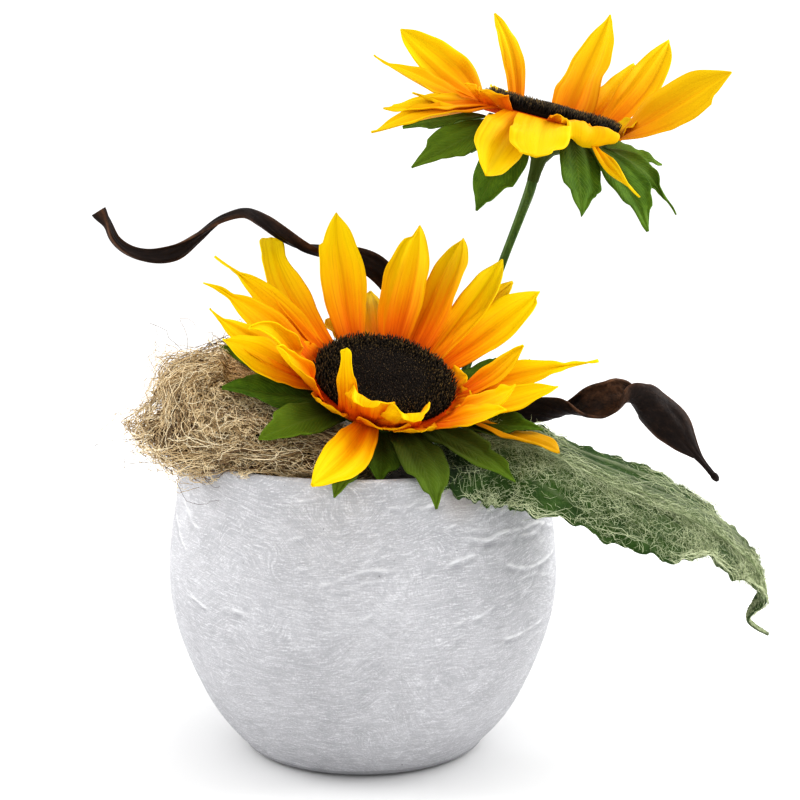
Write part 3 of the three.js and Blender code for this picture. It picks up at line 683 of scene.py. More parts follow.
def stem_finish():
    material, tree, shader = new_finish("stem_green", 0.6, Specular_IOR_Level=0.15)
    cloud = mottle(tree, 0.010)
    line = noise_of(tree, stretched(tree, object_place(tree), (900, 900, 60)), 1.0, 3.0)
    both = shares(tree, cloud, 0.5, line, 0.5)
    colour = ramp(tree, both, [
        (0.30, (0.022, 0.050, 0.008)), (0.52, (0.055, 0.105, 0.016)), (0.75, (0.12, 0.18, 0.035)),
    ])
    finish_colour(tree, shader, colour, bump(tree, line, 0.0005, 0.6))
    return material


def disc_finish(name, dark, tip, picks):
    """Nearly black florets; the bristles picked by their tone turn golden olive at their tips."""
    material, tree, shader = new_finish(name, 0.75, Specular_IOR_Level=0.25)
    height = ramp(tree, attribute(tree, "along"), [(0.55, 0.0), (1.0, 1.0)])
    picked = ramp(tree, attribute(tree, "tone"), picks)
    colour = mix(tree, times(tree, height, picked), dark, tip)
    shade = ramp(tree, mottle(tree, 0.008), [(0.3, 0.55), (0.7, 1.0)])
    finish_colour(tree, shader, mix(tree, 1.0, colour, shade, "MULTIPLY"))
    return material


def disc_bed_finish():
    material, tree, shader = new_finish("floret_bed", 0.9, Specular_IOR_Level=0.15)
    cloud = mottle(tree, 0.003)
    colour = ramp(tree, cloud, [(0.3, (0.004, 0.003, 0.002)), (0.7, (0.018, 0.012, 0.007))])
    finish_colour(tree, shader, colour, bump(tree, cloud, 0.0008, 1.0))
    return material


def leaf_finish():
    """Grey-green blade under a whitish felt that is thickest on the raised veins."""
    material, tree, shader = new_finish("woolly_leaf", 0.85, Specular_IOR_Level=0.15, Sheen_Weight=0.12)
    felt = noise_of(tree, object_place(tree), 900.0, 6.0, 0.7, 0.6)
    patch = mottle(tree, 0.016)
    base = ramp(tree, patch, [
        (0.3, (0.008, 0.027, 0.003)), (0.6, (0.026, 0.066, 0.006)), (0.8, (0.050, 0.115, 0.012)),
    ])
    cover = shares(tree, felt, 0.75, patch, 0.35)
    woolly = mix(tree, ramp(tree, cover, [(0.56, 0.0), (0.80, 0.25)]), base, (0.20, 0.26, 0.11))
    veined = mix(tree, times(tree, attribute(tree, "vein"), 0.45), woolly, (0.36, 0.38, 0.25))
    finish_colour(tree, shader, veined, bump(tree, felt, 0.0007, 0.8))
    return material


def hair_finish(name, dark, pale):
    """Fine hairs, each with its own shade between two colours."""
    material, tree, shader = new_finish(name, 0.7, Specular_IOR_Level=0.25)
    finish_colour(tree, shader, ramp(tree, attribute(tree, "tone"), [(0.05, dark), (0.95, pale)]))
    return material


def fibre_finish(name, stops):
    """Dry plant fibre: each strand has its own shade, with darker stretches along it."""
    material, tree, shader = new_finish(name, 0.65, Specular_IOR_Level=0.3)
    patch = mottle(tree, 0.010)
    own = attribute(tree, "tone")
    tone = shares(tree, own, 0.72, patch, 0.28)
    finish_colour(tree, shader, ramp(tree, tone, stops))
    return material


def pod_finish():
    """Dried brown pod skin: nearly black faces, fine lengthwise grain, and warm brown painted light along the
    edges and over the lit stretch of the right pod's inside.
    """
    material, tree, shader = new_finish("dry_pod", 0.6, Specular_IOR_Level=0.11)
    grain = streaks(tree, attribute(tree, "tone"), 9.0, 26.0)
    cloud = mottle(tree, 0.014)
    edge = attribute(tree, "edge")
    dark = ramp(tree, grain, [
        (0.3, (0.005, 0.003, 0.003)), (0.55, (0.014, 0.008, 0.006)), (0.8, (0.040, 0.022, 0.015)),
    ])
    brown = ramp(tree, grain, [(0.3, (0.042, 0.018, 0.009)), (0.7, (0.165, 0.078, 0.038))])
    # Painted light: the edges, and the lit stretch of the right pod's inside, are coloured warm brown as
    # highlights.
    edge_highlight = times(tree, edge, ramp(tree, cloud, [(0.40, 0.15), (0.60, 1.0)]))
    colour = mix(tree, edge_highlight, dark, brown)
    height = shares(tree, grain, 0.6, cloud, 0.8)
    rough = ramp(tree, cloud, [(0.3, 0.42), (0.7, 0.70)])
    finish_colour(tree, shader, colour, bump(tree, height, 0.0012, 0.8), rough)
    return material


def pot_finish():
    """Pale grey plaster brushed with fine whitish strokes that cross each other in patches, with ridges that
    carry a painted highlight on their crests and painted shade below them, a few dark pits and a faint brown
    stain near the rim.
    """
    material, tree, shader = new_finish("pot_plaster", 0.8, Specular_IOR_Level=0.15)
    place = object_place(tree)

    def strokes(scale, drift_scale, drift_reach, seed):
        spot = add(tree, "VectorMath", {0: place, 1: (seed, seed, seed)}, operation="ADD").outputs[0]
        drift = add(tree, "TexNoise", {"Vector": spot, "Scale": drift_scale, "Detail": 1.0}).outputs["Color"]
        moved_by = add(tree, "VectorMath", {0: drift, "Scale": drift_reach}, operation="SCALE").outputs[0]
        wiped = add(tree, "VectorMath", {0: spot, 1: moved_by}, operation="ADD").outputs[0]
        return noise_of(tree, stretched(tree, wiped, scale), 1.0, 4.0, 0.68)

    level = strokes((190, 190, 3000), 14.0, 0.036, 0.0)
    steep = strokes((190, 190, 2900), 20.0, 0.052, 3.1)
    swirl = strokes((240, 240, 2900), 30.0, 0.060, 7.7)
    patch = ramp(tree, noise_of(tree, place, 40.0, 2.0), [(0.44, 0.0), (0.56, 1.0)])
    crossing = mix(tree, patch, steep, swirl)
    both = shares(tree, level, 0.5, crossing, 0.5)
    grain = noise_of(tree, place, 1500.0, 3.0, 0.7)
    both = shares(tree, both, 0.72, grain, 0.28)
    cloud = mottle(tree, 0.045)
    base = ramp(tree, cloud, [(0.34, (0.37, 0.37, 0.387)), (0.66, (0.505, 0.505, 0.525))])
    colour = mix(tree, ramp(tree, both, [(0.50, 0.0), (0.595, 0.68)]), base, (0.77, 0.77, 0.79))
    colour = mix(tree, ramp(tree, both, [(0.40, 0.55), (0.48, 0.0)]), colour, (0.335, 0.335, 0.355))
    ridge = attribute(tree, "ridge")
    # Painted highlight along the ridges' crests, and painted shade in the groove beside each ridge.
    colour = mix(tree, ramp(tree, ridge, [(0.53, 0.0), (0.74, 0.6)]), colour, (0.80, 0.80, 0.81))
    colour = mix(tree, ramp(tree, ridge, [(0.28, 0.6), (0.48, 0.0)]), colour, (0.27, 0.27, 0.285))
    pit = noise_of(tree, place, 620.0, 1.0)
    colour = mix(tree, ramp(tree, pit, [(0.775, 0.0), (0.80, 0.6)]), colour, (0.14, 0.14, 0.15))
    stained_at = {0: place, 1: (0.036, -0.062, 0.111)}
    stain = add(tree, "VectorMath", stained_at, operation="DISTANCE").outputs["Value"]
    colour = mix(tree, ramp(tree, stain, [(0.003, 0.45), (0.012, 0.0)]), colour, (0.30, 0.25, 0.20))
    height = plus(tree, both, times(tree, grain, 0.2))
    finish_colour(tree, shader, colour, bump(tree, height, 0.0012, 0.6))
    return material


def foam_finish():
    material, tree, shader = new_finish("florist_foam", 0.95, Specular_IOR_Level=0.1)
    cloud = mottle(tree, 0.004)
    colour = ramp(tree, cloud, [(0.3, (0.003, 0.003, 0.002)), (0.7, (0.022, 0.019, 0.014))])
    finish_colour(tree, shader, colour, bump(tree, cloud, 0.0015, 1.0))
    return material


# ---------------------------------------------------------------- camera, floor and light

CAMERA_PLACE = (14.4, -650, 233.5)
CAMERA_PITCH = 8.54  # degrees below level
CAMERA_FOCAL = 1687 / 800  # focal length over the frame's width
SENSOR = 36
FLOOR_RADIUS = 12  # metres, as the lamps' places are
FLOOR_DROP = 0.0002  # keeps the floor just below the pot's base
SKY_STRENGTH = 1.08
LAMPS = (("left", (-0.90, 0.06, 0.60), 6.2), ("right", (0.90, 0.06, 0.60), 8.6))  # name, place, watts
LAMP_SIZE = 0.6
LAMP_AIM = (0.02, 0, 0.13)


def set_stage():
    """The camera at the photograph's angle, a pale floor, an even sky and two soft lamps."""
    scene = bpy.context.scene
    lens = bpy.data.cameras.new("camera")
    lens.sensor_width = SENSOR
    lens.lens = CAMERA_FOCAL * SENSOR
    lens.clip_start = 0.01
    lens.clip_end = 50
    camera = bpy.data.objects.new("camera", lens)
    camera.location = Vector(CAMERA_PLACE) * MM
    camera.rotation_euler = (math.radians(90 - CAMERA_PITCH), 0, 0)
    scene.collection.objects.link(camera)
    scene.camera = camera

    ground, tree, shader = new_finish("floor_white", 0.9, Specular_IOR_Level=0.1)
    # Painted shadow: the floor is coloured darker near the pot, as the shadow round its base.
    away = add(tree, "VectorMath", {0: object_place(tree)}, operation="LENGTH").outputs["Value"]
    finish_colour(tree, shader, ramp(tree, away, [(0.07, (0.70, 0.70, 0.70)), (0.36, (0.90, 0.90, 0.90))]))
    bm = bmesh.new()
    bmesh.ops.create_circle(bm, cap_ends=True, segments=96, radius=FLOOR_RADIUS)
    bmesh.ops.translate(bm, verts=bm.verts, vec=(0, 0, -FLOOR_DROP))
    mesh = bpy.data.meshes.new("floor")
    bm.to_mesh(mesh)
    bm.free()
    floor = bpy.data.objects.new("floor", mesh)
    mesh.materials.append(ground)
    scene.collection.objects.link(floor)

    world = bpy.data.worlds.new("studio")
    scene.world = world
    world.use_nodes = True
    sky = next(node for node in world.node_tree.nodes if node.type == "BACKGROUND")
    sky.inputs["Color"].default_value = (1, 1, 1, 1)
    sky.inputs["Strength"].default_value = SKY_STRENGTH

    for name, place, power in LAMPS:
        lamp = bpy.data.lights.new(name, "AREA")
        lamp.size = LAMP_SIZE
        lamp.energy = power
        light = bpy.data.objects.new(name, lamp)
        light.location = place
        light.rotation_euler = (Vector(LAMP_AIM) - Vector(place)).to_track_quat("-Z", "Y").to_euler()
        scene.collection.objects.link(light)
    scene.view_settings.view_transform = "Standard"
    scene.view_settings.look = "Medium High Contrast"


# ---------------------------------------------------------------- pot and foam

# Ridges left in the plaster: degrees round from the viewer's side and height, at both ends, and rise.
POT_RIDGES = [
    (-12, 80, 13, 87, 0.5), (-3, 68, 4, 72, 0.4), (42, 57, 67, 58, 0.7), (27, 98, 74, 95, 0.7),
    (35, 93, 80, 89, 0.9), (23, 85, 35, 90, 0.6), (8, 108, 16, 110, 0.7), (17, 107, 25, 111, 0.8),
    (43, 84, 80, 82, 0.9), (-17, 86, -11, 89, 0.4), (-59, 68, -46, 66, 0.7), (-41, 69, -31, 67, 0.6),
    (-72, 92, -60, 84, 0.6), (-66, 101, -52, 95, 0.5), (38, 104, 60, 102, 0.8), (48, 76, 70, 73, 0.6),
    (-30, 99, -18, 103, 0.35), (28, 66, 41, 70, 0.4), (-24, 60, -12, 58, 0.3), (52, 47, 66, 52, 0.4),
]
RIDGE_RADIUS = 73  # turns degrees round the pot into millimetres
POT_RIDGES_SMALL = 46
POT_RIDGES_BEHIND = 34


def ridge_list():
    """The ridges on the viewer's side, small ones drawn among them and others drawn behind."""
    draw = random.Random(77)
    ridges = list(POT_RIDGES)
    for _ in range(POT_RIDGES_SMALL):
        angle, height = draw.uniform(-80, 72), draw.uniform(52, 112)
        length, rise = draw.uniform(4, 15), draw.uniform(0.12, 0.45) * (1.3 if height > 85 else 0.8)
        climb = draw.uniform(-9, -2) if angle < -35 else draw.uniform(0, 4.5)
        ridges.append((angle, height, angle + length, min(height + climb, 112), rise))
    for _ in range(POT_RIDGES_BEHIND):
        angle, height = draw.uniform(84, 266), draw.uniform(30, 108)
        length, climb = draw.uniform(8, 34), draw.uniform(-5, 9)
        top = min(height + climb, 111)
        ridges.append((angle, height, angle + length, top, draw.uniform(0.2, 0.6) * min(1, height / 70)))
    return ridges


def ridge_relief(angles, heights):
    """How far the plaster stands out at places on the pot, given in degrees round and height."""
    relief = np.zeros(len(angles))
    draw = random.Random(78)
    for first, low, last, high, rise in ridge_list():
        start = np.array([math.radians(first) * RIDGE_RADIUS, low])
        way = np.array([math.radians(last) * RIDGE_RADIUS, high]) - start
        length = np.linalg.norm(way)
        way = way / length
        round_about = (angles - first + 180) % 360 - 180 + first
        gap = np.column_stack([np.radians(round_about) * RIDGE_RADIUS, heights]) - start
        along, off = gap @ way, gap @ np.array([-way[1], way[0]])
        share = along / length
        off = off + 0.07 * length * (1 - (2 * share - 1) ** 2) * draw.choice((-1, 1))
        off = off + 0.5 * np.sin(along / draw.uniform(3, 6) + draw.uniform(0, 6))
        fade = ease((share + 0.06) / 0.25) * ease((1.06 - share) / 0.25)
        wide = draw.uniform(0.45, 0.8)
        crest = np.exp(-((off / wide) ** 2)) - 0.5 * np.exp(-(((off + 2.6 * wide) / (1.8 * wide)) ** 2))
        uneven = 0.7 + 0.45 * np.sin(along / 1.7 + first) * np.sin(along / 3.1)
        relief += 0.55 * rise * fade * crest * uneven
    return relief


def make_pot():
    """The bowl, turned finely, with its rounded rim and the ridges of the wiped plaster."""
    outer = lambda z: float(pot_radius(z))
    inner = lambda z: outer(z) - POT_WALL
    side = [(outer(z), z) for z in np.linspace(3.4, POT_HEIGHT - 2.4, 175)]
    rim = [
        (outer(POT_HEIGHT) - RIM_ROUND + RIM_ROUND * math.cos(turn),
         POT_HEIGHT - RIM_ROUND + RIM_ROUND * math.sin(turn))
        for turn in np.linspace(0.05, math.pi, 12)
    ]
    wall = [(inner(z), z) for z in np.linspace(POT_HEIGHT - 3, POT_FLOOR + 4, 14)]
    foot = [
        (0, 0), (20, 0), (outer(0) - 5.0, 0), (outer(0) - 4.6, 0.85), (outer(0) + 0.1, 0.9),
        (outer(0) + 1.1, 1.15), (outer(0) + 1.9, 1.8),
    ]
    profile = foot + side + rim + wall + [(inner(POT_FLOOR) - 3, POT_FLOOR), (0, POT_FLOOR)]
    bm = bmesh.new()
    add_turned(bm, profile, POT_TURNS)
    ridge = bm.verts.layers.float.new("ridge")
    outside = [
        vert for vert in bm.verts
        if vert.co.z > 3 and math.hypot(vert.co.x, vert.co.y) > inner(vert.co.z) + 1.2
    ]
    angles = [math.degrees(math.atan2(vert.co.x, -vert.co.y)) for vert in outside]
    relief = ridge_relief(np.array(angles), np.array([vert.co.z for vert in outside]))
    for vert, rise in zip(outside, relief):
        x, y, z = vert.co
        swell = 0.35 * noise.noise((x / 28, y / 28, z / 20)) + 0.10 * noise.noise((x / 6, y / 6, z / 3))
        near_rim = 1 - 0.85 * float(ease(np.array((z - POT_HEIGHT + 6) / 4.0)))
        vert.co += Vector((x, y, 0)).normalized() * (float(rise) + swell) * near_rim
        # The relief is kept for the finish's painted highlight on crests and painted shade in grooves.
        vert[ridge] = 0.5 + 0.9 * float(rise)
    mesh_piece("pot_bowl", bm, pot_finish(), ["pot"])


def make_foam():
    """The dark block in the pot, with a rough porous top."""
    inner = lambda z: float(pot_radius(z)) - POT_WALL - GAP - 0.6
    edge = inner(FOAM_TOP) - 0.4
    profile = [(0, POT_FLOOR + GAP), (inner(POT_FLOOR) - 4, POT_FLOOR + GAP)]
    profile += [(inner(z) - 0.6, z) for z in np.linspace(15, FOAM_TOP - 2, 16)]
    profile += [(radius, FOAM_TOP) for radius in np.linspace(edge - 1.5, 0, 56)]
    bm = bmesh.new()
    add_turned(bm, profile, FOAM_TURNS)
    for vert in bm.verts:
        if vert.co.z > FOAM_TOP - 3:
            grain = noise.noise(vert.co / 2.2) + 0.6 * noise.noise(vert.co / 5 + Vector((3, 1, 8)))
            vert.co.z += 0.9 * grain
    mesh_piece("foam_block", bm, foam_finish(), ["foam"])


# ---------------------------------------------------------------- flowers

def blade_width(spec, t):
    """Share of the full width at t."""
    tail, tip = spec["tail"], spec["tip"]
    body = np.clip(t / (1 - 0.8 * tail), 0, 1) ** (math.log(0.5) / math.log(spec["peak"]))
    lower = spec["root"] + (1 - spec["root"]) * np.sin(math.pi * np.minimum(body, 0.5))
    past = np.clip((body - 0.5) / 0.5, 0, 1)
    upper = np.maximum(1 - past * past, 0.0) ** 0.9
    width = np.where(body < 0.5, lower, upper)
    if tail:
        width = np.maximum(width, 0.17 * np.clip((1 - t) / tail, 0, 1) ** 0.7)
    if tip:
        end = tip * np.sqrt(1 - (1 - np.clip((1 - t) / 0.08, 0.0, 1)) ** 2)
        width = np.maximum(width, np.where(t > 0.5, end, 0))
    return width


def blade_spots(spec, seat, t, u, draw):
    """Spots of a petal or sepal in its head's frame; t runs from the buried root to the tip."""
    buried = seat["sunk"] / spec["long"]
    t = -buried + (1 + buried) * t
    turn_at = math.radians(spec["at"])
    out = np.array([math.cos(turn_at), math.sin(turn_at), 0])
    side = np.array([-out[1], out[0], 0])
    skyward = np.array([0, 0, 1.0])

    def slope_at(s):
        lip = spec["lip"] * ease((s - spec["lip_from"]) / (1 - spec["lip_from"]))
        return np.radians(spec["rise"] + spec["bend"] * s + lip)

    def ahead_at(s):
        heading = np.radians(spec["sway"]) * s
        return np.cos(heading)[:, None] * out + np.sin(heading)[:, None] * side

    steps = np.linspace(0, 1, 61)
    between = (steps[1:] + steps[:-1]) / 2
    slopes = slope_at(between)
    pace = np.cos(slopes)[:, None] * ahead_at(between) + np.sin(slopes)[:, None] * skyward
    path = np.vstack([np.zeros(3), np.cumsum(pace, axis=0) * spec["long"] / 60])
    middle = np.column_stack([np.interp(t, steps, path[:, k]) for k in range(3)])
    middle += out * seat["radius"] + skyward * seat["height"]
    middle += np.minimum(t, 0)[:, None] * spec["long"] * out

    s = np.clip(t, 0, 1)
    slope = slope_at(s)[:, None]
    ahead = ahead_at(s)
    beside = np.cross(skyward, ahead)
    up = -np.sin(slope) * ahead + np.cos(slope) * skyward
    twist = spec["twist"] * np.clip((s - spec["twist_from"]) / (1 - spec["twist_from"]), 0, 1)
    turn = np.radians(spec["tilt"] * np.minimum(s / 0.4, 1) + twist)[:, None]
    across = np.cos(turn) * beside + np.sin(turn) * up
    normal = np.cos(turn) * up - np.sin(turn) * beside

    half = np.maximum(spec["wide"] / 2 * blade_width(spec, s), 0.3)
    uneven = np.sin(7.3 * s + 9 * draw.random() + u) + 0.5 * np.sin(19 * s + 9 * draw.random() - 2 * u)
    half = half * (1 + 0.035 * uneven * np.minimum(s / 0.3, 1))
    for where, place, depth in spec["notch"]:
        half = np.where(u * where > 0, half * (1 - depth * ease((s - place) / 0.035)), half)
    grown = np.minimum(s / 0.35, 1)
    rolled = np.clip((s - spec["curl_from"]) / 0.25, 0, 1)
    curl = np.where(u < 0, spec["curl"][0], spec["curl"][1]) * rolled
    edge = np.radians((spec["cup"] + curl) * grown) + 1e-4
    reach = np.abs(u) * edge
    width_now = np.sign(u) * half * np.sin(reach) / edge
    lift = half * (1 - np.cos(reach)) / edge

    phases = [draw.uniform(0, 2 * math.pi) for _ in range(7)]
    body = np.sin(math.pi * np.clip(s, 0.0, 1) ** 0.8) ** 0.7
    creases = np.cos(2.1 * math.pi * u + phases[0]) + 0.3 * np.cos(4.4 * math.pi * u + phases[1])
    midrib = -0.5 * np.exp(-((u / 0.12) ** 2))
    lift = lift + spec["fold"] * body * (0.7 * creases + midrib)
    edge_wave = np.sin(2 * math.pi * 1.9 * s + np.where(u < 0, phases[2], phases[3]))
    edge_wave += 0.4 * np.sin(2 * math.pi * 4.3 * s + np.where(u < 0, phases[4], phases[5]))
    lift += spec["wave"] * np.abs(u) ** 2.5 * edge_wave * np.minimum(s / 0.3, 1)
    lift += 0.011 * spec["long"] * s * np.sin(2 * math.pi * 1.2 * s + phases[6])
    return middle + across * width_now[:, None] + normal * lift[:, None]


def add_blades(bm, specs, seat, matrix, seed, toothed=False):
    """Blades from their lists; toothed ones get three small steps in their edges."""
    tone = bm.verts.layers.float.new("tone")
    # Per-blade layers: a random tone, painted shade for blades lying in shadow, and the reach of the dark
    # root colour, partly painted shade.
    dim = bm.verts.layers.float.new("dim")
    deep = bm.verts.layers.float.new("deep")
    for number, spec in enumerate(specs):
        draw = random.Random(seed + number)
        shade = draw.random()
        if toothed:
            steps = [(side, draw.uniform(0.55, 0.86), draw.uniform(0.12, 0.34)) for side in (-1, 1, 1)]
            spec = {**spec, "notch": [*spec["notch"], *steps]}
        place = lambda t, u: moved(matrix, blade_spots(spec, seat, t, u, draw))
        for vert in add_sheet(bm, PETAL_ROWS, PETAL_COLUMNS, place):
            vert[tone] = shade
            vert[dim] = spec["dim"]
            vert[deep] = spec["deep"]


def make_petals(name, petals, matrix, finish, node, seed):
    """A ring of petals and the flat collar that their roots are fused to."""
    bm = bmesh.new()
    add_blades(bm, petals, PETAL_SEAT, matrix, seed)
    mesh_piece(name, bm, finish, [node], PETAL_THICK)
    collar = bmesh.new()
    profile = [(0, COLLAR_BASE), (COLLAR_R - 2.4, COLLAR_BASE), (COLLAR_R - 1.4, COLLAR_TOP), (0, COLLAR_TOP)]
    add_turned(collar, profile, 48)
    collar.transform(matrix)
    mesh_piece(name + "_collar", collar, finish, [node])


def make_calyx(name, sepals, matrix, finish, node, seed):
    """The green cup with its sepals."""
    bm = bmesh.new()
    add_blades(bm, sepals, SEPAL_SEAT, matrix, seed, toothed=True)
    mesh_piece(name + "_sepals", bm, finish, [node], SEPAL_THICK)
    cup = bmesh.new()
    outline = [
        (0, CUP_TOP - CUP_DEPTH), (1.6, CUP_TOP - CUP_DEPTH), (2.2, CUP_TOP - CUP_DEPTH + 1),
        (2.4, CUP_TOP - 17), (3.0, CUP_TOP - 13), (5.2, CUP_TOP - 9.5), (12, CUP_TOP - 5.8),
        (21, CUP_TOP - 3.2), (CUP_R - 0.6, CUP_TOP - 1.4), (CUP_R - 1.0, CUP_TOP), (0, CUP_TOP),
    ]
    add_turned(cup, outline, 60)
    for vert in cup.verts:
        turn = math.atan2(vert.co.y, vert.co.x)
        radius = math.hypot(vert.co.x, vert.co.y)
        if radius > 0.1 and vert.co.z < CUP_TOP - 0.5:
            swell = 1 + 0.03 * math.cos(9 * turn) + 0.02 * math.cos(17 * turn + 1)
            vert.co.x *= swell
            vert.co.y *= swell
    cup.transform(matrix)
    mesh_piece(name + "_cup", cup, finish, [node])


def make_disc(name, matrix, finishes, node, seed, tall):
    """A dark bed covered with upright bristles, taller and paler towards its rim."""
    bm = bmesh.new()
    dome = lambda radius: DISC_EDGE - 0.9 + (DISC_DOME - DISC_EDGE) * (1 - (radius / DISC_R) ** 2)
    profile = [(0, -0.3), (DISC_R - 1.4, -0.3), (DISC_R - 0.2, 1.0)]
    profile += [(radius, dome(radius)) for radius in np.linspace(DISC_R - 0.5, 0, 24)]
    add_turned(bm, profile, 72)
    bm.transform(matrix)
    mesh_piece(name + "_bed", bm, finishes[0], [node])

    draw = np.random.default_rng(seed)
    order = np.arange(BRISTLES) + 0.5
    radius = (DISC_R + 0.1) * np.sqrt(order / BRISTLES)
    turn = order * math.pi * (3 - math.sqrt(5))
    rim = ease((radius - 0.52 * DISC_R) / (0.40 * DISC_R))
    height = tall * (1.0 + 1.7 * rim) * (0.65 + 0.7 * draw.random(BRISTLES))
    lean = 0.16 * rim + 0.20 * draw.standard_normal(BRISTLES)
    sideways = 0.30 * draw.standard_normal(BRISTLES)
    outward = np.column_stack([np.cos(turn), np.sin(turn), np.zeros(BRISTLES)])
    round_about = np.column_stack([-np.sin(turn), np.cos(turn), np.zeros(BRISTLES)])
    foot = outward * radius[:, None]
    foot[:, 2] = dome(radius) - 0.3
    way = unit(np.array([0, 0, 1.0]) + outward * lean[:, None] + round_about * sideways[:, None])
    lines = np.stack([foot, foot + way * (height * 0.6)[:, None], foot + way * height[:, None]], axis=1)
    pale = (radius > 0.60 * DISC_R + 2.5 * draw.standard_normal(BRISTLES))
    for label, chosen, finish in (("rim", pale, finishes[1]), ("centre", ~pale, finishes[2])):
        strand_piece(
            f"{name}_{label}_bristles", moved(matrix, lines[chosen]), BRISTLE_THICK, (1.0, 0.85, 0.35),
            finish, [node], seed + 1,
        )


def make_stem(name, line, head, radius, finish, node):
    """A ribbed stem from the foam into the head's cup, a little thicker at its upper end."""
    matrix = head_matrix(head)
    in_head = [CUP_TOP - CUP_DEPTH - 3, CUP_TOP - CUP_DEPTH + 2, COLLAR_BASE - STEM_IN_CUP]
    points = seated_line([*line, *(tuple(matrix @ Vector((0, 0, z))) for z in in_head)])

    def ribbed(t, angle):
        swell = radius * (1 + 0.10 * np.cos(5 * angle + 3 * t) + 0.05 * np.cos(11 * angle))
        return swell * (1 + 0.06 * np.sin(23 * t) + 0.10 * ease((t - 0.84) / 0.1))

    bm = bmesh.new()
    add_tube(bm, even_line(points, 120), 30, round_section(ribbed))
    mesh_piece(name, bm, finish, [node])


def make_flowers():
    petals, sepals, stems = petal_finish(), sepal_finish(), stem_finish()
    discs = (
        disc_bed_finish(),
        disc_finish("floret_rim", (0.012, 0.008, 0.005), (0.30, 0.19, 0.055),
                    [(0.30, 0.08), (0.70, 0.45), (1.0, 1.0)]),
        disc_finish("floret_centre", (0.010, 0.006, 0.005), (0.26, 0.17, 0.08),
                    [(0.50, 0.05), (0.85, 0.35), (1.0, 1.0)]),
    )
    flowers = (
        ("front", FRONT_HEAD, FRONT_PETALS, FRONT_SEPALS, FRONT_STEM_LINE, 2.6, 1.0, 11),
        ("back", BACK_HEAD, BACK_PETALS, BACK_SEPALS, BACK_STEM_LINE, 1.7, 1.35, 211),
    )
    for name, head, petal_specs, sepal_specs, line, radius, tall, seed in flowers:
        matrix = head_matrix(head)
        make_petals(name + "_petal_ring", petal_specs, matrix, petals, name + "_petals", seed)
        make_disc(name + "_florets", matrix, discs, name + "_disc", seed + 70, tall)
        make_calyx(name + "_green", sepal_specs, matrix, sepals, name + "_calyx", seed + 90)
        make_stem(name + "_flower_stem", line, head, radius, stems, name + "_stem")


# ---------------------------------------------------------------- pods

def make_left_pod(finish):
    """A long dry pod, flattened, creased and slowly twisted, with a flared cut end."""
    line = seated_line(POD_LEFT_LINE)
    points = even_line(line, 260)
    halves = [POD_LEFT_HALF[0]] * 3 + POD_LEFT_HALF[1:]
    reach = station_reach(line)
    draw = random.Random(31)
    phases = [draw.uniform(0, 6.28) for _ in range(4)]

    def section(t, angle):
        spread = ease((t - 0.10) / 0.14)
        half = np.interp(t, reach, halves)
        half = half * (1 + 0.05 * np.sin(31 * t + phases[0]) + 0.03 * np.sin(67 * t + phases[1]))
        flare = ease((t - 0.965) / 0.035)
        through = STALK_R * (1 - spread) + (0.40 * half) * spread
        half = half * (1 + 0.28 * flare)
        through = through * (1 + 1.1 * flare)
        turn = 2 * math.pi * 2.2 * np.maximum(t - 0.12, 0)
        corner = np.cos(angle)
        across = half * corner
        ridge = 0.36 * np.cos(3 * angle + phases[2]) + 0.24 * np.cos(7 * angle + 9 * t + phases[3])
        bow = 0.5 * spread * half * (np.cos(angle) ** 2 - 0.5)
        deep = through * np.sin(angle) * (1 + 0.95 * spread * ridge) + bow
        return across * np.cos(turn) - deep * np.sin(turn), across * np.sin(turn) + deep * np.cos(turn)

    bm = bmesh.new()
    edge = bm.verts.layers.float.new("edge")
    for vert, angle in add_tube(bm, points, 40, section):
        # Painted light: warm brown highlights along the pod's two edges.
        vert[edge] = abs(math.cos(angle)) ** 6
    mesh_piece("left_pod_skin", bm, finish, ["pod_left"])


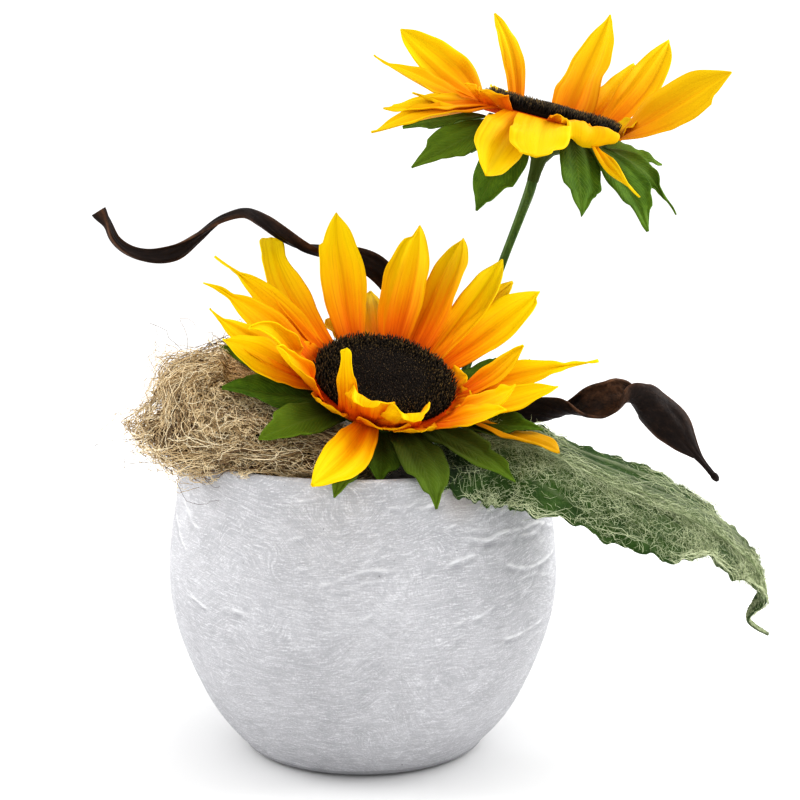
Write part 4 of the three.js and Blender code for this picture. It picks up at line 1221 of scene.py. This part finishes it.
def make_right_pod(finish):
    """Half of a dry pod: a curled strip that turns its inside up and over again."""
    table = np.array(POD_RIGHT_STRIP, float)
    last = len(table) - 1
    turning = np.column_stack([10 * np.arange(last + 1), table[:, 3:]])

    def place(t, u):
        station = last * t
        middle = curve_at(table[:, :3], station)
        ahead = direction_at(table[:, :3], station)
        half, turn, curl = curve_at(turning, station)[:, 1:].T
        half = half * (1 + 0.03 * np.sin(17 * t) + 0.02 * np.sin(41 * t))
        viewer = np.array([0, -1.0, 0])
        forward = unit(viewer - ahead * (ahead @ viewer)[:, None])
        skyward = np.cross(forward, ahead)
        turn = np.radians(turn)[:, None]
        across = np.cos(turn) * forward + np.sin(turn) * skyward
        inside = np.cos(turn) * skyward - np.sin(turn) * forward
        curl = np.radians(curl)
        bend = np.abs(u) * curl
        width = np.sign(u) * half * np.sin(bend) / curl
        lift = half * (1 - np.cos(bend)) / curl - half * 0.25
        wrinkle = 0.25 * np.sin(7 * u + 6 * t) * np.sin(34 * t) + 0.16 * np.sin(13 * u + 19 * t)
        return middle + across * width[:, None] + inside * (lift + wrinkle)[:, None]

    bm = bmesh.new()
    edge = bm.verts.layers.float.new("edge")
    rows, columns = 190, 26
    for number, vert in enumerate(add_sheet(bm, rows, columns, place)):
        row, column = divmod(number, columns + 1)
        u = abs(2 * column / columns - 1)
        t = row / rows
        # Painted light: warm brown over the stretch of the inside that faces the light, and along the strip's
        # edges.
        lit = 0.75 * ease(np.array((t - 0.28) / 0.06)) * ease(np.array((0.56 - t) / 0.06))
        vert[edge] = min(1.0, max(float(lit), 0.9 * u**10))
    mesh_piece("right_pod_shell", bm, finish, ["pod_right"], POD_SHELL_THICK)

    stalk = bmesh.new()
    stalk_line = even_line(seated_line([*POD_RIGHT_LINE[:2], (45, 0.5, 122), (51, -1, 128.5)]), 40)
    ribbed = lambda t, angle: 3.1 + 0.25 * np.cos(4 * angle) - 1.2 * ease((t - 0.85) / 0.15)
    add_tube(stalk, stalk_line, 20, round_section(ribbed))
    knob_line = even_line([(135.0, -8, 108.6), (136.4, -8, 107.0), (137.6, -8, 105.4)], 10)
    knob = lambda t, angle: 1.5 * np.sin(math.pi * (0.15 + 0.7 * t))
    add_tube(stalk, knob_line, 14, round_section(knob))
    mesh_piece("right_pod_stalk", stalk, finish, ["pod_right"])


# ---------------------------------------------------------------- woolly leaf

def leaf_axes(t):
    """Midrib, its direction, the two half widths and the directions of the two halves."""
    last = len(LEAF_STATIONS) - 1
    table = np.array(LEAF_STATIONS, float)
    station = t * last
    middle = curve_at(table[:, :3], station)
    ahead = direction_at(table[:, :3], station)
    halves = curve_at(np.column_stack([10 * np.arange(last + 1), table[:, 3:]]), station)[:, 1:]
    ways = []
    for degrees in (LEAF_NEAR_SLOPE * (0.28 + 0.72 * ease(t / 0.30)), 180 - LEAF_FAR_SLOPE + 0 * t):
        angle = np.radians(degrees)
        way = np.column_stack([0 * t, -np.cos(angle), np.sin(angle)])
        along = np.sum(ahead * way, axis=1)[:, None]
        ways.append(unit(way - ahead * along))
    return middle, ahead, halves, ways


def leaf_veins(t, u, half):
    """How strongly a raised vein passes a spot: the midrib, and side veins that leave it forwards."""
    distance = np.abs(u) * half
    veins = 0.9 * np.exp(-((distance / 0.9) ** 2))
    for start, pace in LEAF_VEINS:
        path = 28 * np.maximum(t - start, 0) ** 0.85 * (0.55 + 2.5 * pace)
        strength = np.where(u < 0, 0.35, 1.0) * ease((t - start) / 0.04)
        veins = np.maximum(veins, np.exp(-(((distance - path) / 0.62) ** 2)) * strength)
    return veins


def leaf_half(halves, u):
    """Half width of the blade on the side that u is on."""
    return np.maximum(np.where(u < 0, halves[:, 0], halves[:, 1]), 0.45)


def leaf_spots(t, u):
    """The blade's spots and its veins; u below 0 is the half that hangs to the viewer."""
    middle, ahead, halves, (near, away) = leaf_axes(t)
    near_side = u < 0
    half = leaf_half(halves, u)
    saw = (t * 42 + np.where(near_side, 0.0, 0.4)) % 1.0
    ragged = np.sin(61 * t) + np.sin(143 * t + np.where(near_side, 1.0, 2.5))
    inside = ease(t / 0.05) * ease((1 - t) / 0.05)
    tooth = (1.7 * saw - 0.6 + 0.9 * ragged) * inside * np.abs(u) ** 6 * ease(half / 7)
    reach = np.abs(u) * half + tooth
    near_normal = -np.cross(ahead, near)
    away_normal = np.cross(ahead, away)
    share = ease((u + 0.2) / 0.4)[:, None]
    normal = unit(near_normal * (1 - share) + away_normal * share)
    way = np.where(near_side[:, None], near, away)
    veins = leaf_veins(t, u, half)
    pucker = 0.5 * np.sin(2.1 * reach + 40 * t) * np.sin(95 * t + 1.3 * reach) * ease(half / 8)
    billow = 1.0 * np.sin(26 * t + np.where(near_side, 0, 2)) * np.abs(u) ** 2
    fold = 1.15 * veins - 0.7 * np.exp(-((u / 0.25) ** 2))
    lift = fold * ease(half / 6) + 0.55 * pucker + billow * inside * ease(half / 8)
    edge_curl = 0.9 * np.abs(u) ** 8 * np.sin(64 * t + np.where(near_side, 0, 1.7)) * ease(half / 7)
    return middle + way * reach[:, None] + normal * (lift + edge_curl)[:, None], normal, veins


def clear_of_pot(spots, gap):
    """Spots in or behind the pot's wall brought out in front of it or on top of its rim."""
    spots = spots.copy()
    radius = np.hypot(spots[:, 0], spots[:, 1])
    skin = pot_radius(np.clip(spots[:, 2], 0, POT_HEIGHT)) + gap
    low = (spots[:, 2] < POT_HEIGHT + 0.2) & (radius > skin - POT_WALL - 1.5) & (radius < skin)
    grow = np.where(low, skin / np.maximum(radius, 1), 1)
    spots[:, :2] *= grow[:, None]
    over = (radius > 64) & (radius < skin + 1) & ~low
    spots[:, 2] = np.where(over, np.maximum(spots[:, 2], POT_HEIGHT + gap), spots[:, 2])
    return spots


def make_leaf():
    """The long felted leaf that hangs out over the rim, its stalk and its wool."""
    bm = bmesh.new()
    vein = bm.verts.layers.float.new("vein")
    strength = {}

    def place(t, u):
        spots, _, veins = leaf_spots(t, u)
        strength["all"] = veins
        return clear_of_pot(spots, 1.2)

    for vert, value in zip(add_sheet(bm, LEAF_ROWS, LEAF_COLUMNS, place), strength["all"]):
        vert[vein] = value
    bmesh.ops.smooth_vert(
        bm, verts=bm.verts, factor=0.4, use_axis_x=True, use_axis_y=True, use_axis_z=True)
    felted = leaf_finish()
    mesh_piece("woolly_blade", bm, felted, ["woolly_leaf"], LEAF_THICK)
    stalk = bmesh.new()
    add_tube(stalk, even_line(seated_line(LEAF_STALK_LINE), 40), 18, round_section(lambda t, angle: 3.0))
    mesh_piece("woolly_stalk", stalk, felted, ["woolly_leaf"])
    wool = hair_finish("leaf_wool", (0.09, 0.14, 0.035), (0.65, 0.70, 0.45))
    for label, lines, seed in (
        ("above", leaf_hairs(LEAF_HAIRS_ABOVE, 1, 401), 401),
        ("below", leaf_hairs(LEAF_HAIRS_BELOW, -1, 402), 402),
        ("edge", leaf_hairs(LEAF_HAIRS_EDGE, 0, 403), 403),
        ("long", leaf_wool(LEAF_WOOL_STRANDS, 404), 404),
    ):
        taper = (1.0, 0.8, 0.3) if lines.shape[1] == 3 else (0.5, 1.0, 1.0, 0.9, 0.7, 0.3)
        strand_piece(
            "leaf_wool_" + label, lines, HAIR_THICK, taper, wool, ["woolly_leaf"], seed)


def leaf_bare(t, u):
    """1 where the wool has thinned to leave the green showing, 0 where it is thick."""
    wave = np.sin(31 * t + 2.2 * u + 1.0) * np.cos(19 * t - 3.1 * u) + 0.4 * np.sin(67 * t + 5 * u)
    worn = ease(0.35 + 0.8 * wave)
    patch = np.exp(-(((t - 0.40) / 0.07) ** 2)) + np.exp(-(((t - 0.63) / 0.04) ** 2))
    far_worn = np.minimum(0.85 * worn + patch * ease((u - 0.25) / 0.2), 1)
    return np.where(u < 0, worn, far_worn) * ease(np.abs(u) / 0.15)


def leaf_wool(count, seed):
    """Longer strands lying lengthwise on the midrib, the far half and the edges."""
    draw = np.random.default_rng(seed)
    kind = draw.random(count)
    start = draw.uniform(0.02, 0.82, count)
    far = draw.choice((0.30, 0.52, 0.74, 0.95), count) + 0.055 * draw.standard_normal(count)
    far = np.clip(far + 0.08 * np.sin(23 * start), 0.12, 0.99)
    middle = 0.05 + 0.075 * draw.standard_normal(count)
    near = -0.97 + 0.10 * np.abs(draw.standard_normal(count))
    u = np.where(kind < 0.6, middle, np.where(kind < 0.88, far, near))
    u = np.where(leaf_bare(start, u) > 0.55, middle, u)
    reach = draw.uniform(0.02, 0.07, count)
    drift = np.where(draw.random(count) < 0.7, 0.06, 0.25) * draw.standard_normal(count)
    face = draw.uniform(0.5, 1.5, count)
    rows = []
    for share in np.linspace(0, 1, 6):
        along = np.clip(start + reach * share, 0, 0.985)
        beside = np.clip(u + drift * share + 0.035 * draw.standard_normal(count), -1, 1)
        spots, normal, _ = leaf_spots(along, beside)
        stand = LEAF_THICK * 0.5 + face * (0.35 + 0.5 * math.sin(math.pi * share))
        rows.append(clear_of_pot(spots + normal * stand[:, None], 1.6))
    return np.stack(rows, axis=1)


def leaf_hairs(count, above, seed):
    """Fine hairs lying in all directions on one face, or standing off the edge (above of 0)."""
    draw = np.random.default_rng(seed)
    t = draw.uniform(0.015, 0.985, 3 * count)
    u = draw.uniform(-0.98, 0.98, 3 * count)
    half = leaf_half(leaf_axes(t)[2], u)
    chance = (0.25 + 0.8 * leaf_veins(t, u, half)) * (1 - 0.92 * leaf_bare(t, u))
    chance = chance * np.where((u > 0.1) & (above > 0), 0.16, 1)
    chance = chance * (0.5 + 0.5 * ease((t - 0.10) / 0.14)) * (1 - 0.4 * ease((t - 0.70) / 0.1))
    chosen = np.argsort(draw.random(3 * count) / chance)[:count]
    t, u = t[chosen], u[chosen]
    if above == 0:
        u = np.sign(u) * draw.uniform(0.93, 1.0, count)
    foot, normal, veins = leaf_spots(t, u)
    foot = clear_of_pot(foot, 1.4)
    ahead = unit(leaf_spots(np.minimum(t + 0.004, 1), u)[0] - foot)
    aside = unit(np.cross(normal, ahead))
    face = normal if above >= 0 else -normal
    heading = draw.uniform(0, 2 * math.pi, count)[:, None]
    way = np.cos(heading) * ahead + np.sin(heading) * aside
    if above == 0:
        way = unit(aside * -np.sign(u)[:, None] + 0.9 * draw.standard_normal((count, 3)))
    length = draw.uniform(2.2, 6.5, count)[:, None] * (0.75 + 0.3 * veins[:, None])
    length = length * ease(leaf_half(leaf_axes(t)[2], u) / 6)[:, None]
    stand = draw.uniform(0.05, 0.5, count)[:, None]
    sweep = draw.uniform(-0.8, 0.8, count)[:, None]
    curve = np.cross(way, face)
    foot = foot + face * LEAF_THICK * 0.45
    middle = foot + way * length * 0.5 + face * (0.2 + 0.5 * stand * length * 0.5)
    tip = foot + way * length * 0.95 + curve * sweep * length * 0.6
    tip = tip + face * (0.25 + stand * 0.5 * length * 0.6)
    return np.stack([foot, middle, tip], axis=1)


# ---------------------------------------------------------------- fibre nest

FRONT_HEAD_PLACE = head_matrix(FRONT_HEAD)


def kept_from_neighbours(spots, sunk=0):
    """Nest spots pressed under the front sepals and kept off the pot's wall and out of the foam."""
    local = moved(FRONT_HEAD_PLACE.inverted(), spots)
    radius = np.hypot(local[:, 0], local[:, 1])
    ceiling = -7.5 - sunk + 0.14 * np.maximum(radius - 24, 0) + 40 * ease((radius - 58) / 14)
    local[:, 2] = np.minimum(local[:, 2], ceiling)
    spots = moved(FRONT_HEAD_PLACE, local)
    radius = np.hypot(spots[:, 0], spots[:, 1])
    skin = pot_radius(np.clip(spots[:, 2], 0, POT_HEIGHT))
    in_wall = (spots[:, 2] < POT_HEIGHT + 0.6) & (radius > skin - POT_WALL - 0.4)
    outside = in_wall & (radius > skin - 0.5)
    spots[:, 2] = np.where(in_wall & ~outside, POT_HEIGHT + 0.7, spots[:, 2])
    grow = np.where(outside, np.maximum(radius, skin + 0.6) / np.maximum(radius, 1), 1)
    spots[:, :2] *= grow[:, None]
    spots[:, 2] = np.maximum(spots[:, 2], np.where(radius < skin - POT_WALL, FOAM_TOP + 0.6, 0))
    return spots


def nest_spot(direction, lump, share):
    """A spot at the given share of the way out to the nest's lumpy outside."""
    centre, radii = lump
    x, y, z = (direction[..., axis] for axis in range(3))
    waves = np.sin(5 * x + 7 * z) + np.sin(9 * y - 4 * x)
    small = np.sin(17 * x + 3) * np.sin(15 * y + 1) * np.sin(13 * z)
    scale = (0.95 + 0.045 * waves + 0.05 * small) * share
    spot = direction * scale[..., None] * np.array(radii)
    spot[..., 2] *= np.where(spot[..., 2] < 0, 0.72, 1.0)
    return spot + np.array(centre)


# The nest's two lumps: middle, radii and share of the bundles.
NEST_LUMPS = [
    ((-45, -17, 128), (40.3, 42, 34), 0.72),
    ((-21, -42, 119.5), (31, 19, 13), 0.28),
]


def make_nest_core():
    """The dense inside that shows between the strands, coloured dark brown as painted shade."""
    bm = bmesh.new()
    for centre, radii, _ in NEST_LUMPS:
        made = bmesh.ops.create_icosphere(bm, subdivisions=5, radius=1)["verts"]
        spots = np.array([vert.co[:] for vert in made])
        spots = kept_from_neighbours(nest_spot(spots, (centre, radii), np.full(len(spots), 0.84)), 3.5)
        for vert, spot in zip(made, spots):
            vert.co = Vector(spot) + Vector(spot).normalized() * 0.8 * noise.noise(Vector(spot) / 3)
    # Painted shade: dark brown standing for the shaded fibre deep inside the nest.
    finish, tree, shader = new_finish("nest_inside", 0.95, Specular_IOR_Level=0.1)
    cloud = mottle(tree, 0.004)
    colour = ramp(tree, cloud, [(0.3, (0.030, 0.018, 0.009)), (0.7, (0.13, 0.085, 0.045))])
    finish_colour(tree, shader, colour, bump(tree, cloud, 0.0015, 1.0))
    mesh_piece("nest_core", bm, finish, ["fibre_nest"])


def nest_lines(count, seed, spread, stray, bundle):
    """Curly strands wound about the nest in bundles; spread is how far in and out they lie."""
    draw = np.random.default_rng(seed)
    points = FIBRE_POINTS
    lines = []
    for number in range(count):
        if number % bundle == 0:
            lump = NEST_LUMPS[0] if draw.random() < NEST_LUMPS[0][2] else NEST_LUMPS[1]
            pole = unit(draw.standard_normal(3) * (1, 1, 0.8))
            if draw.random() < 0.45:
                pole = unit(np.array([0.1, -1.0, 0.35]) + 0.32 * draw.standard_normal(3))
            side = unit(np.cross(pole, draw.standard_normal(3)))
            middle, arc, ring = draw.uniform(0, 2 * math.pi), draw.uniform(0.5, 1.8), draw.uniform(0.10, 1.0)
            layer = draw.uniform(*spread)
        own_pole = unit(pole + 0.07 * draw.standard_normal(3))
        own_side = unit(side - own_pole * (side @ own_pole))
        third = np.cross(own_pole, own_side)
        reach = arc * draw.uniform(0.5, 1.0)
        angle = middle + draw.normal(0, 0.25) + reach * np.linspace(-0.5, 0.5, points)
        wide = np.clip(ring + draw.normal(0, 0.07), 0.05, 1.04)
        way = (own_side * np.cos(angle)[:, None] + third * np.sin(angle)[:, None]) * wide
        way = unit(way + own_pole * math.sqrt(max(1 - 0.92 * wide * wide, 0.01)))
        wobble = np.cumsum(draw.standard_normal((points, 3)), axis=0) * 0.020
        turn = draw.uniform(0, 6.28) + np.linspace(0, draw.uniform(3, 10), points)
        curl = draw.uniform(0.0, 0.05) * (np.sin(turn)[:, None] * own_pole + np.cos(turn)[:, None] * third)
        way = unit(way + wobble - wobble.mean(axis=0) + curl)
        lift = layer + draw.normal(0, 0.018) + 0.014 * np.cumsum(draw.standard_normal(points))
        if draw.random() < 0.3:
            lift = lift + draw.uniform(0.02, 0.11) * np.linspace(0, 1, points) ** 3
        if stray:
            loose = draw.uniform(0.06, stray)
            lift = lift + loose * np.sin(np.linspace(0, draw.uniform(1.2, 3.1), points)) ** 2
        lines.append(nest_spot(way, lump[:2], lift))
    lines = np.array(lines)
    kept = kept_from_neighbours(lines.reshape(-1, 3)).reshape(lines.shape)
    pushed = (np.linalg.norm(kept - lines, axis=2) > 3.0) & (kept[:, :, 2] < POT_HEIGHT + 1.5)
    return kept[~pushed.any(axis=1)]


def make_nest():
    """A dense bundle of dry fibre resting on the foam and spilling over the rim."""
    make_nest_core()
    tan = fibre_finish("fibre_tan", [
        (0.12, (0.26, 0.165, 0.07)), (0.40, (0.64, 0.48, 0.265)), (0.66, (0.88, 0.73, 0.475)),
        (1.0, (0.97, 0.90, 0.70)),
    ])
    # Painted shade: the deep fibres get a darker copy of the tan, as the shade inside the nest.
    shaded = fibre_finish("fibre_deep_shade", [
        (0.1, (0.13, 0.08, 0.035)), (0.5, (0.34, 0.235, 0.12)), (0.9, (0.58, 0.44, 0.25)),
    ])
    brown = fibre_finish("fibre_brown", [(0.2, (0.06, 0.035, 0.018)), (0.8, (0.22, 0.135, 0.07))])
    for label, count, seed, spread, stray, bundle, thick, finish in (
        ("deep", NEST_FIBRES, 501, (0.86, 0.96), 0, 20, 1.0, shaded),
        ("outer", NEST_FIBRES, 502, (0.93, 1.01), 0, 12, 0.9, tan),
        ("top", 1500, 506, (0.97, 1.05), 0, 9, 0.8, tan),
        ("dark", 420, 503, (0.92, 1.03), 0, 7, 0.9, brown),
        ("loose", 520, 504, (0.98, 1.04), 0.20, 3, 0.8, tan),
        ("stray", 110, 505, (1.0, 1.05), 0.42, 1, 0.55, brown),
    ):
        strand_piece(
            f"nest_{label}_fibres", nest_lines(count, seed, spread, stray, bundle), FIBRE_THICK * thick,
            np.linspace(1, 0.6, FIBRE_POINTS), finish, ["fibre_nest"], seed,
        )


# ---------------------------------------------------------------- the whole

set_stage()
make_pot()
make_foam()
make_flowers()
POD_FINISH = pod_finish()
make_left_pod(POD_FINISH)
make_right_pod(POD_FINISH)
make_leaf()
make_nest()


def corners(box):
    return [[round(float(value), 5) for value in corner] for corner in box]
